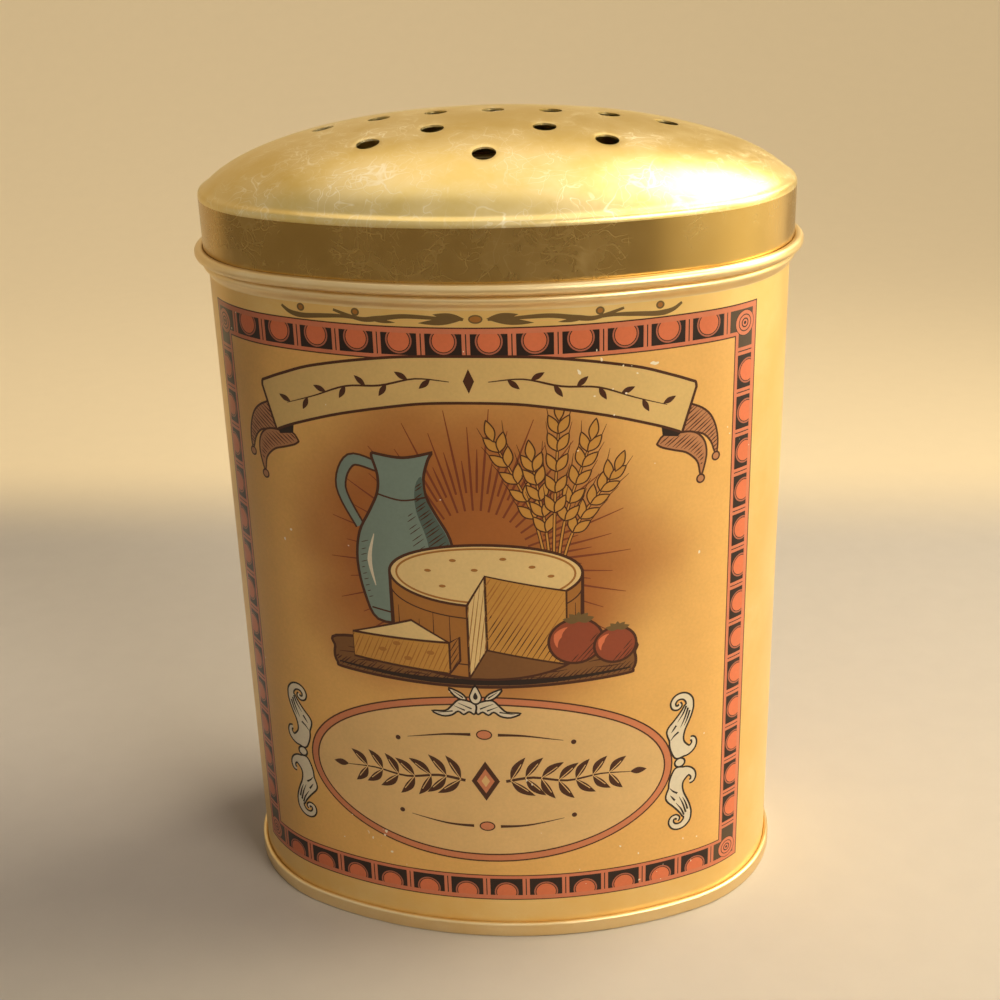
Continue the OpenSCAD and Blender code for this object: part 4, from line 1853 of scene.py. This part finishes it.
@dataclass(frozen=True)
class Studio:
    """Floor, light and camera."""

    azimuth: float = 4.392
    elevation: float = 22.83
    roll: float = -1.772
    distance: float = 233.55
    target: Place = (-0.714, 0.0, 60.43)
    lens: float = 53.95
    sensor: float = 36.0
    clip: Point = (10.0, 50000.0)
    floor_half: float = 4000.0
    sweep_y: float = 350.0
    sweep_r: float = 320.0
    sweep_steps: int = 24
    wall_h: float = 2500.0
    sky: str = "FFF3E2"
    sky_level: float = 0.06
    room_level: float = 0.45
    lamps: tuple[SoftLamp, ...] = (
        SoftLamp("highlight_soft_box", (330.0, 130.0, 450.0), (25.0, -10.0, 110.0), 340.0, 0.8,
                 "FFF1D4", 90.0),
        SoftLamp("side_soft_box", (520.0, 40.0, 290.0), (0.0, 0.0, 60.0), 300.0, 0.28, "FFF3CA", 75.0),
        SoftLamp("low_strip_box", (270.0, -20.0, 60.0), (0.0, -15.0, 90.0), 500.0, 0.09,
                 "FFF3D2", 120.0, 90.0),
        SoftLamp("front_soft_box", (430.0, -430.0, 340.0), (0.0, 0.0, 60.0), 320.0, 0.35, "FFF4E0", 60.0),
        SoftLamp("front_ceiling_box", (150.0, -550.0, 670.0), (0.0, 0.0, 100.0), 1000.0, 0.7, "FFF6EA"),
        SoftLamp("back_ceiling_box", (90.0, 330.0, 900.0), (0.0, 20.0, 90.0), 1000.0, 2.5, "FFF6EA"))

    def build(self) -> None:
        """Build the studio."""
        self.build_floor()
        for lamp in self.lamps:
            lamp.build()
        self.build_sky()
        self.build_camera()

    def build_floor(self) -> None:
        """Lay the paper floor and sweep it up behind."""
        mesh = bpy.data.meshes.new("paper_sweep")
        line = [(-self.floor_half, 0.0)]
        line.extend(arc((self.sweep_y, self.sweep_r), self.sweep_r, -90.0, 0.0, self.sweep_steps))
        line.append((self.sweep_y + self.sweep_r, self.wall_h))
        reach = self.floor_half * MM
        points = [(side * reach, y * MM, z * MM) for y, z in line for side in (-1, 1)]
        faces = [(2 * i, 2 * i + 1, 2 * i + 3, 2 * i + 2) for i in range(len(line) - 1)]
        mesh.from_pydata(points, [], faces)
        mesh.polygons.foreach_set("use_smooth", [True] * len(faces))
        mesh.materials.append(StudioPaper().make())
        floor = put("paper_sweep", mesh)

    def build_sky(self) -> None:
        """Light the room evenly, and show it paler to the eye and to metal."""
        world = bpy.data.worlds.new("studio_room")
        bpy.context.scene.world = world
        world.use_nodes = True
        tree = world.node_tree
        tree.nodes.clear()
        level = add_node(tree, "ShaderNodeMapRange", {
            "Value": looked_at(tree), "To Min": self.sky_level, "To Max": self.room_level})
        light = add_node(tree, "ShaderNodeBackground", {
            "Color": linear(self.sky), "Strength": level.outputs["Result"]})
        add_node(tree, "ShaderNodeOutputWorld", {"Surface": light.outputs["Background"]})

    def build_camera(self) -> None:
        """Set the camera at the photograph's place."""
        turn, lift, tilt = (math.radians(v) for v in (self.azimuth, self.elevation, self.roll))
        back = Vector((math.sin(turn) * math.cos(lift), -math.cos(turn) * math.cos(lift), math.sin(lift)))
        right = Vector((math.cos(turn), math.sin(turn), 0.0))
        up = back.cross(right)
        across = right * math.cos(tilt) + up * math.sin(tilt)
        upright = up * math.cos(tilt) - right * math.sin(tilt)
        frame = Matrix((across, upright, back)).transposed().to_4x4()
        data = bpy.data.cameras.new("photo_camera")
        data.sensor_fit = "HORIZONTAL"
        data.sensor_width = self.sensor
        data.lens = self.lens
        data.clip_start, data.clip_end = (v * MM for v in self.clip)
        camera = put("photo_camera", data)
        camera.matrix_world = Matrix.Translation((Vector(self.target) + back * self.distance) * MM) @ frame
        bpy.context.scene.camera = camera


def millimetres(corner: Sequence[float]) -> tuple[float, float, float]:
    """A corner of a node's box in millimetres."""
    return (corner[0] / MM, corner[1] / MM, corner[2] / MM)


def dress(piece: bpy.types.Object, body: str, node: str) -> None:
    """Put a piece in the place of its node.

    Args:
        piece: the new object.
        body: the body that it rides on.
        node: the node that it stands for.
    """
    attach(piece, body)
    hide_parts(node)
    LOG.info("%s stands for %s on %s", piece.name, node, body)


def main() -> None:
    """Build the tin and the studio round the frame."""
    logging.basicConfig(level=logging.INFO, format="%(name)s: %(message)s")
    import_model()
    bpy.context.scene.view_settings.view_transform = "Standard"
    sleeve_high = millimetres(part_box("body_sleeve")[1])
    lid_low, lid_high = (millimetres(corner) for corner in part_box("shaker_lid"))
    bead_out = PrintedSleeve.bead_out
    oval = Oval(round(sleeve_high[0] - bead_out, 1), round(sleeve_high[1] - bead_out, 1))

    gold = GoldLacquer("gold_lacquered_tinplate", "E8CE82", "FBF1D2", roughness=0.31,
                       hairline_mark=0.75).make()
    # The skirt's gold is a darker copy of the dome's lacquer: a painted dark reflection of the floor in
    # front.
    shaded_skirt_gold = GoldLacquer("gold_lacquer_skirt_painted_dark", "B89858", "C9AE76", roughness=0.24,
                             hairline_mark=0.4).make()
    edge_gold = GoldLacquer("gold_lacquered_edge", "EBD09A", "F3E4C0", roughness=0.36,
                            hairline_mark=0.2).make()
    inks = [ink.value.make() for ink in Ink]

    sleeve = PrintedSleeve(oval, sleeve_high[2]).build([*inks, BrightTinplate().make(), edge_gold])
    dress(sleeve, "tin_body", "body_sleeve")
    bottom = SeamedBottom(oval).build([edge_gold])
    dress(bottom, "tin_body", "bottom_end")
    lid = ShakerLid(oval, lid_low[2], lid_high[2]).build([gold, shaded_skirt_gold, edge_gold])
    dress(lid, "lid", "shaker_lid")

    Studio().build()


if __name__ == "__main__":
    main()
